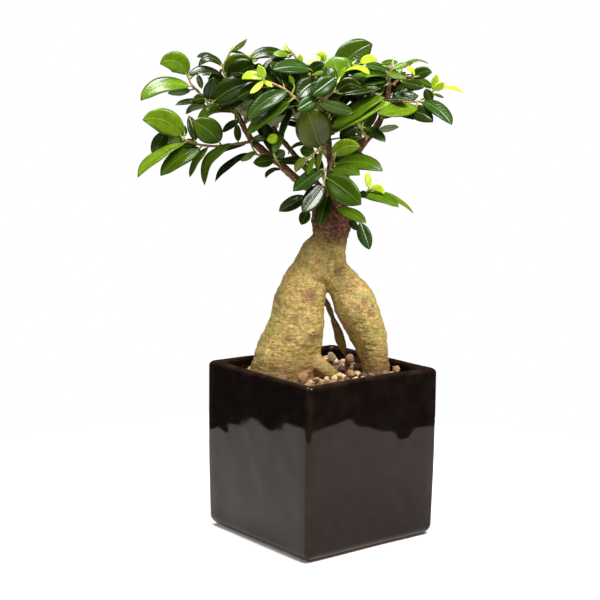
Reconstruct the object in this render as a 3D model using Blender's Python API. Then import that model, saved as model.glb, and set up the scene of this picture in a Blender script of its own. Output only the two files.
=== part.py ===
"""A ginseng fig bonsai in a square glazed pot, as separate solids in metres, +Z up.

The origin is the centre of the pot's base, and the pot's faces look along X and Y. The tree is set
out in a frame of its own, which is turned about Z against the pot: x runs across, y runs away and
z runs up. The tree's tables are in millimetres in that frame.
"""
import math
import random

import bmesh
import bpy
import numpy as np
from mathutils import Matrix, Vector
from mathutils.bvhtree import BVHTree

# Driving dimensions, in metres
POT_SIDE = 0.134
POT_HEIGHT = 0.139
POT_WALL = 0.008
POT_FLOOR = 0.008
POT_CORNER = 0.0045
POT_INNER_CORNER = 0.004
POT_FOOT_ROUND = 0.0075
POT_RIM_ROUND = 0.003
GAP = 0.0003
SEAM_WELD = 1.5e-6
SOIL_TOP = 0.1245
GRAVEL_TOP = 0.1305

# The tree's frame
MM = 0.001
TREE_TURN = math.radians(-38.45)

# The crown is set out in elevation on its middle plane, as it is seen from this place, in mm
EYE = Vector((-18.3, -1097.6, 346.0))

# Leaf and twig habit of the tree, in mm
LEAF_HALF_THICKNESS = 0.6
LEAF_FOLD = 0.16
LEAF_SLENDERNESS = 0.5
BLADE_STEPS = [(0.35, 1.0), (0.75, 0.82)]
PETIOLE_RADIUS = 0.8
PETIOLE_CORNERS = [math.radians(turn) for turn in (77, 197, 317)]
PETIOLE_IN_BLADE = 0.35
SHORT_PETIOLE = 5.0
NODE_STEP = 0.45
CLEARANCE = 0.35

# Rootstock: (x, y, z, radius) along each root, in mm
ROOTS = {
    "left_leg": [
        (-30, -2, 103, 12), (-31, -3, 116, 21), (-31, -3, 130, 28), (-28, -3, 145, 26.5),
        (-23.5, -3, 160, 24.5), (-20.5, -3, 175, 22.6), (-19, -2, 190, 20.8), (-14.5, -1, 204, 19.2),
        (-9.5, 0, 214, 16.5), (-4, 0, 222, 13),
    ],
    "neck": [
        (-5, 0.7, 212, 18), (-3, 0.7, 219, 20), (-0.5, 0.6, 226, 19.6), (2, 0.5, 232, 17.6),
        (5, 0.4, 238, 14.8),
        (6.2, 0.3, 243, 14.2), (6.3, 0.3, 249, 15.4), (6.4, 0.3, 256, 16.6), (6.5, 0.3, 264, 15.5),
        (6.5, 0.3, 270, 11),
    ],
    "right_leg": [
        (45, 2, 104, 6), (45, 2, 118, 10), (44.5, 2, 132, 11.5), (43, 2, 144, 12.2), (39.5, 2, 156, 13.6),
        (35, 2, 168, 15.6), (30, 2, 180, 17.4), (24, 2, 192, 17.2), (17, 1, 203, 14.2), (9, 0, 213, 12.6),
        (4, 0, 221, 11),
    ],
    "toe_front": [
        (-16, -8, 150, 12), (-8, -10, 142, 9.5), (2, -12, 136, 7), (11, -13, 130, 5), (17, -13, 122, 3),
    ],
    "toe_left": [(-38, -6, 143, 14), (-50, -8, 134, 10), (-58, -10, 122, 6)],
    "air_root": [
        (-3, 8, 194, 6), (4, 13, 186, 3.6), (8, 14, 176, 3.0), (11.5, 14, 167, 3.8), (14, 14, 159, 4.6),
        (17.5, 14, 150, 3.6), (19.5, 14, 143, 1.8), (21, 14, 134, 1.5), (22, 14, 122, 1.4),
    ],
    "collar_left": [(4, 0, 262, 9), (-1, 0, 271, 7), (-7, 0, 279, 4.6)],
    "collar_right": [(8, 0, 262, 9), (11, 1, 272, 6.5), (14, 1, 283, 4.4)],
    "collar_centre": [(6, -2, 263, 9), (5, -7, 274, 5.5), (4, -11, 286, 3.4)],
    "collar_back": [(6, 2, 263, 9), (4, 8, 272, 6.5), (2, 12, 281, 4.6)],
}

THICK_ROOTS = ("left_leg", "right_leg", "neck")

# Limbs: (x, z, y, radius), set out on the crown's middle plane
LIMBS = {
    "limb_left": [
        (-7.5, 279.5, 0, 3.6), (-24, 290, -2, 3.4), (-36, 301, -3, 3.4), (-48, 309.5, -4, 3.3),
        (-58, 318.5, -4, 3.0), (-64, 328, -3, 2.5), (-70, 340, -1, 2.2), (-81, 347, 1, 2.0),
        (-94, 351, 2, 1.7),
    ],
    "limb_right": [
        (14.5, 283.5, 1, 3.4), (20, 300, 3, 3.2), (26, 314, 3, 3.2), (33, 320.5, 3, 3.1), (38, 326, 3, 3.0),
        (43, 334, 3, 2.8), (46, 343, 2, 2.4), (49, 353, 2, 2.1), (51, 365, 2, 1.7),
    ],
    "limb_centre": [
        (4, 286.5, -11.5, 2.6), (4.5, 295, -15, 2.3), (4, 305, -18, 2.1), (3, 316, -20, 1.9),
        (3, 327, -21, 1.7),
        (1, 338, -20, 1.6), (-2, 349, -18, 1.5), (1, 359, -18, 1.3), (6, 365, -19, 1.1),
    ],
    "limb_back": [
        (2, 281.5, 13, 3.6), (5, 300, 22, 3.0), (3, 320, 31, 2.6), (-1, 340, 38, 2.2), (-5, 358, 42, 1.7),
    ],
    "limb_back_left": [
        (-3, 284, 19, 2.6), (-20, 303, 27, 2.5), (-38, 324, 34, 2.2), (-52, 345, 39, 1.9),
        (-62, 360, 42, 1.5),
    ],
    "limb_back_right": [
        (8, 285, 20, 2.6), (22, 303, 26, 2.5), (36, 324, 30, 2.2), (48, 344, 34, 1.9), (58, 360, 37, 1.5),
    ],
}

# Shoots that are seen leaf by leaf.
# A twig is (x, z, y) from its limb outwards. A leaf is x, z of its base, x, z of its tip, the width
# that it shows, how high its midrib arches, y of its base and tip, and its age:
# D old and dark, M mature, F fresh, Y young and yellow, G glossy grey, O ochre, U seen from below.
SHOOTS = {
    "shoot_left_low": {
        "twig": [
            (-58, 318, -5), (-70, 316, -9), (-85, 314, -11), (-100, 315, -12), (-112, 319, -13),
            (-126, 327, -13),
        ],
        "leaves": [
            (-114, 321, -145, 334, 20, 6, -14, -24, "F"), (-127, 325, -137, 306, 12, 0, -12, -5, "D"),
            (-122, 325, -119, 306, 15, 0, -10, -2, "U"), (-112, 316, -150, 289, 9, 4, -14, -30, "F"),
            (-99, 312, -131, 290, 14, 3, -13, -24, "M"), (-93, 313, -108, 289, 6, 2, -11, -14, "M"),
            (-84, 312, -98, 301, 5, -1, -8, 2, "U"), (-72, 316, -96, 283, 8, 8, -10, -16, "M"),
            (-64, 315, -97, 291, 3, 6, -6, -6, "D"), (-104, 318, -108, 338, 9, 1, -10, -3, "D"),
            (-84, 317, -105, 333, 20, 2, -13, -24, "M"), (-112, 321, -113, 331, 6, 0, -9, -4, "F"),
            (-101, 315, -116, 312, 8, 2, -11, -15, "M"),
        ],
    },
    "shoot_left_under": {
        "twig": [(-48, 309, -6), (-51, 307, -9), (-55, 308, -11)],
        "leaves": [
            (-58, 308, -88, 286, 6, 4, -10, -12, "D"), (-55, 309, -67, 303, 6, 0, -12, -20, "U"),
            (-58, 319, -46, 320, 6, 1, -9, -14, "D"),
        ],
    },
    "shoot_left_elbow": {
        "twig": [(-36, 301, -5), (-38, 303, -9), (-39, 305, -11)],
        "leaves": [
            (-40, 304, -57, 301, 10, 0, -12, -20, "D"), (-37, 303, -11, 303, 7, 0, -10, -12, "D"),
            (-38, 306, -32, 311, 8, 0, -13, -22, "D"), (-35, 296, -47, 289, 4, 3, -6, -12, "D"),
        ],
    },
    "shoot_left_mid": {
        "twig": [(-70, 340, -3), (-74, 342, -7), (-80, 344, -9)],
        "leaves": [
            (-72, 341, -102, 330, 8, 8, -8, -14, "M"), (-68, 334, -82, 325, 6, 1, -6, -2, "D"),
            (-69, 318, -70, 332, 6, 0, -7, -4, "M"), (-84, 344, -64, 350, 14, 3, -12, -22, "D"),
        ],
    },
    "shoot_left_end": {
        "twig": [(-95, 351.4, 2), (-101, 357, 2), (-106, 362, 1), (-109, 369, 0)],
        "leaves": [
            (-110, 370, -131, 378, 17, 6, -1, -12, "F"), (-108, 361, -147, 350, 13, 6, 0, -16, "F"),
            (-107, 358, -125, 355, 7, 0, 4, 8, "U"), (-109, 369, -81, 369, 6, 5, 2, 8, "D"),
            (-101, 370, -98, 359, 5, 0, 0, -2, "D"), (-96, 348, -119, 346, 5, 2, 5, 0, "D"),
            (-94, 345, -111, 339, 6, 3, 7, 4, "U"), (-93, 352, -105, 350, 9, 0, 0, 4, "D"),
            (-92, 350, -88, 367, 14, 0, -6, -10, "D"), (-88, 349, -58, 364, 20, 2, -12, -24, "D"),
        ],
    },
    "shoot_left_top": {
        "twig": [(-80, 348, 3), (-79, 358, 5), (-79, 368, 5), (-81, 376, 5), (-76, 387, 5)],
        "leaves": [
            (-83, 379, -102, 384, 5, 3, 10, 18, "U"), (-82, 377, -101, 377, 6, 6, 6, 1, "D"),
            (-75, 388, -62.5, 398.5, 4, -1, 5, 5, "M"), (-76, 388, -57, 379, 4, 3, 7, 3, "U"),
            (-79, 371, -58, 381, 16, 3, 0, -10, "M"), (-76, 364, -56, 378, 20, 2, -4, -15, "D"),
            (-80, 366, -92, 362, 12, 2, 8, 16, "D"), (-60, 381, -54, 388, 8, 0, 5, 5, "Y"),
        ],
    },
    "shoot_front_left": {
        "twig": [
            (-2, 349, -19), (-12, 347, -30), (-21, 351, -38), (-32, 359, -42),
            (-40, 363, -43), (-49, 366, -43),
        ],
        "leaves": [
            (-50, 367, -66.5, 367, 7, 3, -44, -47, "Y"), (-49, 367, -53, 378, 7, 0, -43, -46, "Y"),
            (-50, 366, -60, 356, 5, -1, -44, -50, "Y"), (-49, 366, -42, 361, 4, 0, -43, -46, "Y"),
            (-42, 361, -70, 352, 14, 2, -38, -44, "D"), (-30, 358, -62, 335, 14, 3, -44, -54, "G"),
            (-28, 350, -63, 323, 11, 2, -43, -50, "M"), (-25, 363, -29, 370, 4, 0, -39, -42, "F"),
        ],
    },
    "shoot_top_left": {
        "twig": [(-2, 350, -17), (-10, 364, -15), (-18, 376, -15), (-25, 386, -15), (-28, 389.5, -15)],
        "leaves": [
            (-31, 384, -60, 382, 9, 5, -8, -16, "D"), (-30, 380, -50, 374, 11, 2, -16, -26, "D"),
            (-30, 386, -42, 386, 6, 1, -17, -24, "F"), (-28, 389, -34, 393, 3, 0, -15, -16, "Y"),
            (-25, 386, -36, 390, 2, 0, -13, -10, "D"), (-21, 378, -20, 387, 5, 0, -16, -18, "Y"),
            (-14, 371, -28, 362, 14, 2, -18, -30, "D"), (-12, 368, -38, 366, 14, 2, -10, 4, "D"),
        ],
    },
    "shoot_front_top": {
        "twig": [(-3, 353, -20), (-4, 362, -24), (-9, 371, -26), (-4, 380, -22)],
        "leaves": [
            (-12, 375, -42, 375, 12, 2, -28, -42, "G"), (-12, 372, -1, 379, 9, 2, -26, -34, "G"),
            (-1, 381, -8, 387, 5, 3, -22, -26, "Y"), (-4, 385, -15, 379, 4, 0, -23, -30, "Y"),
            (-10, 371, -2, 373, 4, 0, -29, -34, "F"), (-6, 366, -22, 352, 16, 2, -28, -38, "D"),
        ],
    },
    "shoot_centre_top": {
        "twig": [(6.5, 365.5, -19), (11, 368, -20), (14, 374, -18), (20, 379, -14)],
        "leaves": [
            (9, 373, 37, 395.5, 23, 3, -14, -4, "M"), (10.5, 367, 5, 385.5, 27, 0, -26, -12, "F"),
            (14, 372, 35, 371.5, 4, 5, -22, -34, "Y"), (12, 369, 15, 377, 3, 0, -24, -26, "Y"),
            (27, 380, 41, 383, 7, 2, -12, -12, "Y"), (16, 372, 38, 364, 12, 3, -12, -2, "D"),
        ],
    },
    "shoot_centre_front": {
        "twig": [(1, 338, -22), (2, 346, -29), (0, 352, -35), (5, 357, -36), (8, 362, -34)],
        "leaves": [
            (8, 369, -10, 355, 14, 0, -37, -48, "G"), (-6, 353, -22, 343, 11, 0, -41, -52, "G"),
            (-5, 350, 23, 342, 11, -1, -40, -50, "D"), (9, 358, 28, 361, 11, 4, -36, -46, "D"),
            (12, 356, 44, 361, 8, 1, -33, -38, "D"),
        ],
    },
    "shoot_centre_left": {
        "twig": [(1, 338, -18), (-13, 343, -16), (-26, 340, -16), (-33, 329, -18)],
        "leaves": [
            (-34, 327, -41, 309, 8, 0, -19, -26, "F"), (-37, 322, -46, 319, 8, 0, -19, -24, "Y"),
            (-27, 345, -37, 318, 6, 0, -20, -26, "D"), (-30, 341, -55, 338, 12, 3, -16, -6, "D"),
            (-24, 344, -46, 352, 16, 2, -12, 2, "D"),
        ],
    },
    "shoot_centre_leader": {
        "twig": [(2, 318, -21), (-1, 314, -27), (-6, 311, -31), (-12, 306, -33)],
        "leaves": [
            (-3, 314, -15, 345, 29, 0, -31, -44, "O"), (-3, 312, -6, 296, 5, 0, -36, -44, "O"),
            (-13, 305, -23, 294, 7, 2, -34, -38, "O"), (-9, 306, -14, 292, 7, 0, -34, -41, "M"),
            (-8, 310, -20, 312, 10, 0, -31, -24, "M"), (-11, 316, -30, 308, 3, 4, -26, -24, "M"),
        ],
    },
    "shoot_centre_right": {
        "twig": [(3, 327, -22), (3, 328.5, -26), (1, 337, -28)],
        "leaves": [
            (5, 329, 46, 355, 13, 2, -28, -42, "F"), (7, 326, 52, 351, 10, 2, -30, -46, "F"),
        ],
    },
    "shoot_centre_bright": {
        "twig": [(4, 302, -19), (7, 303, -25), (8, 306, -33)],
        "leaves": [
            (6, 308, 28, 314.5, 13, 3, -36, -48, "F"), (6, 306, 35, 305, 14, 0, -23, -28, "D"),
            (9, 301, 46.5, 296.5, 9, 4, -26, -38, "M"), (5, 296, 28, 293, 11, 2, -32, -50, "M"),
            (8, 312, 28, 321, 12, 0, -24, -16, "D"),
        ],
    },
    "shoot_low_front": {
        "twig": [(3, 281, -12), (1, 285, -22), (-1, 291, -32), (0, 294, -38)],
        "leaves": [
            (1, 290, 29, 269, 21, 1, -40, -56, "M"), (-2, 297, -25, 279, 14, 0, -40, -52, "G"),
            (-1, 284, -17, 262, 15, 0, -34, -50, "D"), (3, 276, -4, 251, 12, 0, -28, -42, "D"),
        ],
    },
    "shoot_low_left": {
        "twig": [(-7, 276, -6), (-10, 274, -14), (-13, 270, -22), (-12, 266, -28)],
        "leaves": [
            (-15, 275, -36, 263, 11, 0, -24, -34, "D"), (-13, 264, -18, 252, 9, 0, -30, -36, "D"),
        ],
    },
    "shoot_low_right": {
        "twig": [(12, 268, -11), (15, 266, -17), (21, 262, -22), (28, 257, -24)],
        "leaves": [
            (10, 266, 34, 254, 10, 1, -24, -38, "M"), (21, 257, 27, 248, 6, 0, -23, -26, "D"),
            (29, 254, 37, 233, 11, 0, -24, -30, "G"),
        ],
    },
    "shoot_right_low": {
        "twig": [(14, 272, -6), (22, 274, -10), (31, 278, -12), (36, 280, -12)],
        "leaves": [
            (30, 276, 60, 267, 9, 3, -13, -26, "F"), (39, 279, 73, 262, 4, 3, -12, -16, "F"),
            (37, 281, 48, 277, 6, 3, -14, -18, "Y"), (36, 282, 34, 295, 5, 0, -12, -14, "Y"),
            (28, 277, 35, 277, 6, 0, -16, -22, "G"),
        ],
    },
    "shoot_right_mid": {
        "twig": [(33, 321, -1), (32, 325, -8), (28, 330, -12)],
        "leaves": [
            (31, 330, 48, 319, 9, 1, -12, -24, "D"), (24, 330, 12, 321, 12, 0, -13, -18, "D"),
            (41, 328, 58, 331, 6, 0, 7, 14, "U"), (27, 334, 12, 340, 12, 0, -14, -18, "D"),
        ],
    },
    "shoot_right_fan": {
        "twig": [(46, 345, 0), (56, 350, -6), (66, 350.5, -9), (75, 351, -9)],
        "leaves": [
            (73, 347, 42, 341, 13, 0, -14, -30, "F"), (45, 337, 71, 337, 5, 4, -8, -14, "D"),
            (65, 344, 86, 335, 13, 2, -12, -22, "D"), (76, 351, 101, 333, 11, 3, -10, -20, "G"),
            (84, 351, 79, 361, 8, 0, -9, -10, "D"), (55, 353, 74, 356, 9, 0, -8, -2, "G"),
            (48, 352, 68, 353, 7, 0, -12, -18, "D"),
        ],
    },
    "shoot_right_tip": {
        "twig": [(76, 351.5, -6), (81, 355, -5), (85, 359, -4)],
        "leaves": [
            (85, 360, 88, 372.5, 6, 0, -4, -6, "Y"), (86, 360, 94, 366, 6, 0, -5, -8, "Y"),
            (88, 361, 109, 359, 3, 2, -4, -8, "Y"), (85, 357, 94, 354.5, 2.5, 0, -3, -2, "F"),
        ],
    },
    "shoot_right_crown": {
        "twig": [(51, 363, 0), (50, 369, -8), (51, 374, -12), (52, 378, -12)],
        "leaves": [
            (50, 373, 31, 378, 7, 2, -16, -28, "G"), (49, 371, 18, 368, 5, 2, -14, -30, "F"),
            (47, 369, 31, 364, 9, 0, -14, -32, "G"), (48, 374, 64, 369, 6, -1, -16, -26, "M"),
            (53, 376, 64, 381, 5, 0, -11, -8, "F"), (43, 380, 57, 382, 5, 0, -4, -2, "M"),
            (47, 363, 37, 360, 9, 0, -8, -12, "D"),
        ],
    },
    "shoot_right_upper": {
        "twig": [(51, 360, 4), (56, 366, 2), (62, 370, -2), (68, 370, -6)],
        "leaves": [
            (68, 369, 84, 374, 10, 2, -6, -14, "M"), (70, 371, 63, 377, 4, 2, -8, -12, "Y"),
            (62, 379, 81, 381, 2.5, 3, 12, 20, "F"), (58, 377, 69, 382, 4, 0, 1, 4, "D"),
            (60, 366, 78, 362, 9, 0, -8, -16, "D"), (74, 368, 85, 362, 6, 0, -3, 2, "M"),
        ],
    },
}

# Shoots inside and at the back of the crown, whose leaves follow the tree's habit:
# the twig, and how many leaves it carries.
BACK_SHOOTS = {
    "shoot_back_left_low": ([(-38, 324, 37), (-46, 334, 50), (-58, 346, 62)], 9),
    "shoot_back_left_mid": ([(-52, 345, 42), (-64, 354, 54), (-78, 362, 62)], 11),
    "shoot_back_left_top": ([(-62, 361, 42), (-60, 364, 50), (-56, 368, 60)], 6),
    "shoot_back_low": ([(4, 310, 30), (-3, 318, 44), (-8, 330, 56)], 9),
    "shoot_back_mid": ([(-1, 340, 41), (-14, 350, 56), (-24, 358, 68)], 11),
    "shoot_back_top": ([(-5, 358.5, 42), (-6, 362, 52), (-4, 366, 64)], 7),
    "shoot_back_right_low": ([(30, 315, 32), (28, 326, 46), (24, 340, 58)], 9),
    "shoot_back_right_mid": ([(44, 337, 35), (42, 350, 52), (38, 360, 64)], 11),
    "shoot_back_right_top": ([(58, 360.5, 37), (52, 363, 46), (44, 366, 56)], 6),
    "shoot_inner_left": ([(-64, 328, -3), (-62, 342, 8), (-57, 356, 16)], 11),
    "shoot_inner_centre": ([(-2, 349, -18), (-12, 357, -6), (-24, 366, 4)], 9),
    "shoot_inner_right": ([(47, 347, 2), (40, 356, 10), (28, 364, 16)], 11),
}
HABIT_TRIES = 6
SHORTEST_STEP = 0.8
LIMB_SIDES = 8
TWIG_SIDES = 6
BACK_TWIG_RADIUS = (1.4, 0.9)
TWIG_RADIUS = (1.2, 0.8)
HABIT_LEAF_LENGTH = (30, 40)
HABIT_PETIOLE = (3.5, 6)
HABIT_ARCH = 3
GOLDEN_ANGLE = math.radians(137.5)

# Room that these leaves may fill, on the crown's middle plane: lowest and highest z along x, and the
# windows (x0, x1, z0, z1) where the crown is open
ROOM_X = [-100, -80, -60, -44, -36, -18, -14, 26, 30, 45, 60, 72, 84]
ROOM_LOW = [372, 350, 346, 340, 338, 330, 286, 286, 342, 346, 358, 364, 372]
ROOM_HIGH = [372, 378, 380, 381, 380, 380, 380, 380, 380, 380, 376, 372, 372]
WINDOWS = [(-36, -16, 306, 334), (17, 36, 326, 341), (44, 56, 353, 367)]

# Larger stones on the gravel: (x, y, length, width, height), in mm, tree frame
STONES = [
    (-32, -37, 10, 7, 6), (-15, -40, 10, 8, 8), (-5, -38, 7, 6, 5), (3, -37, 6, 5, 5), (10, -33, 6, 6, 5),
    (14, -25, 8, 7, 6), (16, 2, 8, 7, 7), (23, -12, 10, 8, 7), (29, 13, 8, 7, 7), (40, -22, 8, 6, 5),
    (51, -19, 9, 7, 6), (61, 4, 7, 7, 7), (24, 46, 9, 8, 9), (9, 46, 9, 8, 9),
]

PARTS = "bonsai_in_square_pot"
# The exact solver drops leaves whose thin tips all but graze a seam, and this one keeps them
LEAF_SOLVER = "MANIFOLD"
COLOURS = {
    "glaze": (0.030, 0.024, 0.020), "soil": (0.045, 0.028, 0.018), "gravel": (0.36, 0.29, 0.21),
    "root_bark": (0.40, 0.32, 0.17), "twig_bark": (0.20, 0.10, 0.055), "leaf": (0.045, 0.13, 0.018),
}
ROUGHNESS = {
    "glaze": 0.12, "soil": 0.95, "gravel": 0.8, "root_bark": 0.6, "twig_bark": 0.65, "leaf": 0.3,
}


def clear_scene():
    for thing in list(bpy.data.objects):
        bpy.data.objects.remove(thing, do_unlink=True)


def add_collection(name):
    collection = bpy.data.collections.new(name)
    bpy.context.scene.collection.children.link(collection)
    return collection


def material(name):
    found = bpy.data.materials.get(name)
    if found:
        return found
    made = bpy.data.materials.new(name)
    made.use_nodes = True
    shader = made.node_tree.nodes["Principled BSDF"]
    shader.inputs["Base Color"].default_value = (*COLOURS[name], 1.0)
    shader.inputs["Roughness"].default_value = ROUGHNESS[name]
    shader.inputs["Metallic"].default_value = 0.0
    return made


def object_from_bmesh(name, bm, collection, finish):
    """Turn a bmesh into an object of one material."""
    bmesh.ops.recalc_face_normals(bm, faces=bm.faces)
    mesh = bpy.data.meshes.new(name)
    bm.to_mesh(mesh)
    bm.free()
    made = bpy.data.objects.new(name, mesh)
    collection.objects.link(made)
    made.data.materials.append(material(finish))
    return made


def object_from_skin(name, skin_parts, collection, finish):
    """Turn points of the tree's frame and their triangles into an object."""
    points, faces = skin_parts
    bm = bmesh.new()
    corners = [bm.verts.new(to_world(point)) for point in points]
    for face in faces:
        bm.faces.new([corners[index] for index in face])
    return object_from_bmesh(name, bm, collection, finish)


def boolean(target, cutter, operation, solver="EXACT"):
    """Apply a Boolean to target and keep the cutter as it is."""
    step = target.modifiers.new("boolean", "BOOLEAN")
    step.object = cutter
    step.operation = operation
    step.solver = solver
    depsgraph = bpy.context.evaluated_depsgraph_get()
    cut = bpy.data.meshes.new_from_object(target.evaluated_get(depsgraph))
    target.modifiers.remove(step)
    old = target.data
    target.data = cut
    bpy.data.meshes.remove(old)


def tidy_seams(thing):
    """Merge the points of a seam that all but meet, and drop the slivers between them."""
    bm = bmesh.new()
    bm.from_mesh(thing.data)
    bmesh.ops.remove_doubles(bm, verts=bm.verts, dist=SEAM_WELD)
    bmesh.ops.triangulate(bm, faces=bm.faces)
    bmesh.ops.dissolve_degenerate(bm, dist=SEAM_WELD, edges=bm.edges)
    bm.to_mesh(thing.data)
    bm.free()


def discard(thing):
    mesh = thing.data
    bpy.data.objects.remove(thing, do_unlink=True)
    bpy.data.meshes.remove(mesh)


# ---------------------------------------------------------------- frames and curves

def to_world(point):
    """A point of the tree's frame, in mm, as a point of the pot's frame, in metres."""
    return Matrix.Rotation(TREE_TURN, 3, "Z") @ (Vector(point) * MM)


def set_out(x, z, y):
    """A place on the crown's middle plane, moved along the line of sight to the depth y."""
    nearer = 1 - y / EYE.y
    return Vector((EYE.x + (x - EYE.x) * nearer, y, EYE.z + (z - EYE.z) * nearer))


def tube(name, points, radii, collection, finish, sides=8):
    """A closed tube along points of the tree's frame, with a radius at each, as a mesh."""
    curve = bpy.data.curves.new(name, "CURVE")
    curve.dimensions = "3D"
    curve.bevel_depth = 1.0
    curve.bevel_resolution = (sides - 4) // 2
    curve.use_fill_caps = True
    spline = curve.splines.new("POLY")
    spline.points.add(len(points) - 1)
    for place, point, radius in zip(spline.points, points, radii):
        place.co = (*to_world(point), 1.0)
        place.radius = radius * MM
    guide = bpy.data.objects.new(name, curve)
    collection.objects.link(guide)
    depsgraph = bpy.context.evaluated_depsgraph_get()
    mesh = bpy.data.meshes.new_from_object(guide.evaluated_get(depsgraph))
    bpy.data.objects.remove(guide, do_unlink=True)
    bpy.data.curves.remove(curve)
    bm = bmesh.new()
    bm.from_mesh(mesh)
    bpy.data.meshes.remove(mesh)
    bmesh.ops.remove_doubles(bm, verts=bm.verts, dist=1e-6)
    return object_from_bmesh(name, bm, collection, finish)


def tree_of(thing):
    """The triangles of a mesh object, ready for overlap tests."""
    mesh = thing.data
    mesh.calc_loop_triangles()
    points = [vertex.co.copy() for vertex in mesh.vertices]
    faces = [tuple(triangle.vertices) for triangle in mesh.loop_triangles]
    return BVHTree.FromPolygons(points, faces)


# ---------------------------------------------------------------- pot, soil and gravel

def rounded_box(side, low, high, corner, foot, rim):
    """A square box with its upright, bottom and top edges rounded."""
    bm = bmesh.new()
    size = Matrix.Diagonal((side, side, high - low, 1.0))
    bmesh.ops.create_cube(bm, size=1.0, matrix=Matrix.Translation((0, 0, (low + high) / 2)) @ size)
    tiny = 1e-6

    def edges_at(test):
        return [edge for edge in bm.edges if test(*(vertex.co.z for vertex in edge.verts))]

    upright = edges_at(lambda a, b: abs(a - b) > tiny)
    bmesh.ops.bevel(bm, geom=upright, offset=corner, segments=3, profile=0.5, affect="EDGES")
    if foot:
        bottom = edges_at(lambda a, b: a < low + tiny and b < low + tiny)
        bmesh.ops.bevel(bm, geom=bottom, offset=foot, segments=3, profile=0.5, affect="EDGES",
                        clamp_overlap=True)
    if rim:
        top = edges_at(lambda a, b: a > high - tiny and b > high - tiny)
        bmesh.ops.bevel(bm, geom=top, offset=rim, segments=2, profile=0.5, affect="EDGES",
                        clamp_overlap=True)
    return bm


def make_pot(parts, cutters):
    outer = rounded_box(POT_SIDE, 0.0, POT_HEIGHT, POT_CORNER, POT_FOOT_ROUND, POT_RIM_ROUND)
    pot = object_from_bmesh("pot", outer, parts, "glaze")
    inside = POT_SIDE - 2 * POT_WALL
    hollow = rounded_box(inside, POT_FLOOR, POT_HEIGHT * 1.2, POT_INNER_CORNER, POT_FOOT_ROUND / 2, 0)
    cutter = object_from_bmesh("pot_hollow", hollow, cutters, "glaze")
    boolean(pot, cutter, "DIFFERENCE")
    discard(cutter)
    return pot


def fill_block(name, low, high, finish, parts, root_mass):
    """A layer that fills the pot's inside between two heights, cut clear of the roots."""
    side = POT_SIDE - 2 * POT_WALL - 2 * GAP
    foot = POT_FOOT_ROUND / 2 if low < SOIL_TOP / 2 else 0
    layer = object_from_bmesh(name, rounded_box(side, low, high, POT_INNER_CORNER, foot, 0), parts, finish)
    boolean(layer, root_mass, "DIFFERENCE")
    return layer


def make_stone(number, place, parts):
    """A worn stone: a low ball of triangles pushed in and out a little, lying on the gravel."""
    x, y, length, width, height = place
    rng = random.Random(100 + number)
    bm = bmesh.new()
    bmesh.ops.create_icosphere(bm, subdivisions=1, radius=0.5)
    for vertex in bm.verts:
        vertex.co *= rng.uniform(0.86, 1.08)
    bmesh.ops.scale(bm, verts=bm.verts, vec=(length * MM, width * MM, height * MM))
    turn = Matrix.Rotation(rng.uniform(0, math.pi), 3, "Z")
    bmesh.ops.rotate(bm, verts=bm.verts, matrix=turn)
    lowest = min(vertex.co.z for vertex in bm.verts)
    spot = to_world((x, y, 0))
    lift = GRAVEL_TOP + GAP - lowest
    bmesh.ops.translate(bm, verts=bm.verts, vec=(spot.x, spot.y, lift))
    return object_from_bmesh(f"stone_{number:02d}", bm, parts, "gravel")


# ---------------------------------------------------------------- rootstock and limbs

def make_rootstock(name, extra, collection):
    """All the roots and the graft collar joined into one body. extra thickens it, in mm."""
    whole = None
    for root, points in ROOTS.items():
        sides = 12 if root in THICK_ROOTS else 6
        places = [point[:3] for point in points]
        radii = [point[3] + extra for point in points]
        piece = tube(f"{name}_{root}", places, radii, collection, "root_bark", sides)
        if whole is None:
            whole = piece
            whole.name = name
        else:
            boolean(whole, piece, "UNION")
            discard(piece)
    return whole


# ---------------------------------------------------------------- leaves and shoots

def leaf_shape(row):
    """Where one leaf of the tables stands in the tree's frame."""
    x0, z0, x1, z1, width, arch, y0, y1, age = row
    base = set_out(x0, z0, y0)
    tip = set_out(x1, z1, y1)
    middle = (base + tip) / 2
    sight = (middle - EYE).normalized()
    across = (tip - base).cross(sight).normalized()
    if across.z < 0:
        across.negate()
    length = (tip - base).length
    blade = max(width, LEAF_SLENDERNESS * length)
    lean = math.acos(min(1.0, width / blade))
    facing = across * math.sin(lean) - sight * math.cos(lean) * (-1 if age == "U" else 1)
    return {"base": base, "tip": tip, "rise": across * arch, "width": blade, "facing": facing,
            "habit": False}


def habit_leaves(name, twig, count):
    """Leaves to try around a twig by the golden angle: out from it, a little up, drooping at the tip."""
    rng = random.Random(name)
    turn = rng.uniform(0, 2 * math.pi)
    leaves = []
    for number in range(count * HABIT_TRIES):
        along = 0.25 + 0.75 * ((number + 0.5) / count % 1)
        start = point_along(twig, along)
        ahead = (point_along(twig, min(1, along + 0.1)) - point_along(twig, along - 0.1)).normalized()
        side = ahead.orthogonal().normalized()
        other = ahead.cross(side)
        turn += GOLDEN_ANGLE
        out = side * math.cos(turn) + other * math.sin(turn)
        way = (out + ahead * (1.2 * along - 0.2) + Vector((0, 0, 0.25))).normalized()
        length = rng.uniform(*HABIT_LEAF_LENGTH)
        base = start + way * rng.uniform(*HABIT_PETIOLE)
        tip = base + way * length
        across = Vector((0, 0, 1)) - way * way.z
        facing = (across.normalized() + out * 0.25).normalized()
        leaves.append({
            "base": base, "tip": tip, "rise": facing * HABIT_ARCH, "width": length * LEAF_SLENDERNESS,
            "facing": facing, "habit": True,
        })
    return leaves


def point_along(points, share):
    """The point at a share of a polyline's length."""
    lengths = [(b - a).length for a, b in zip(points, points[1:])]
    left = max(0.0, min(1.0, share)) * sum(lengths)
    for (a, b), length in zip(zip(points, points[1:]), lengths):
        if left <= length:
            return a.lerp(b, left / length)
        left -= length
    return points[-1].copy()


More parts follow.
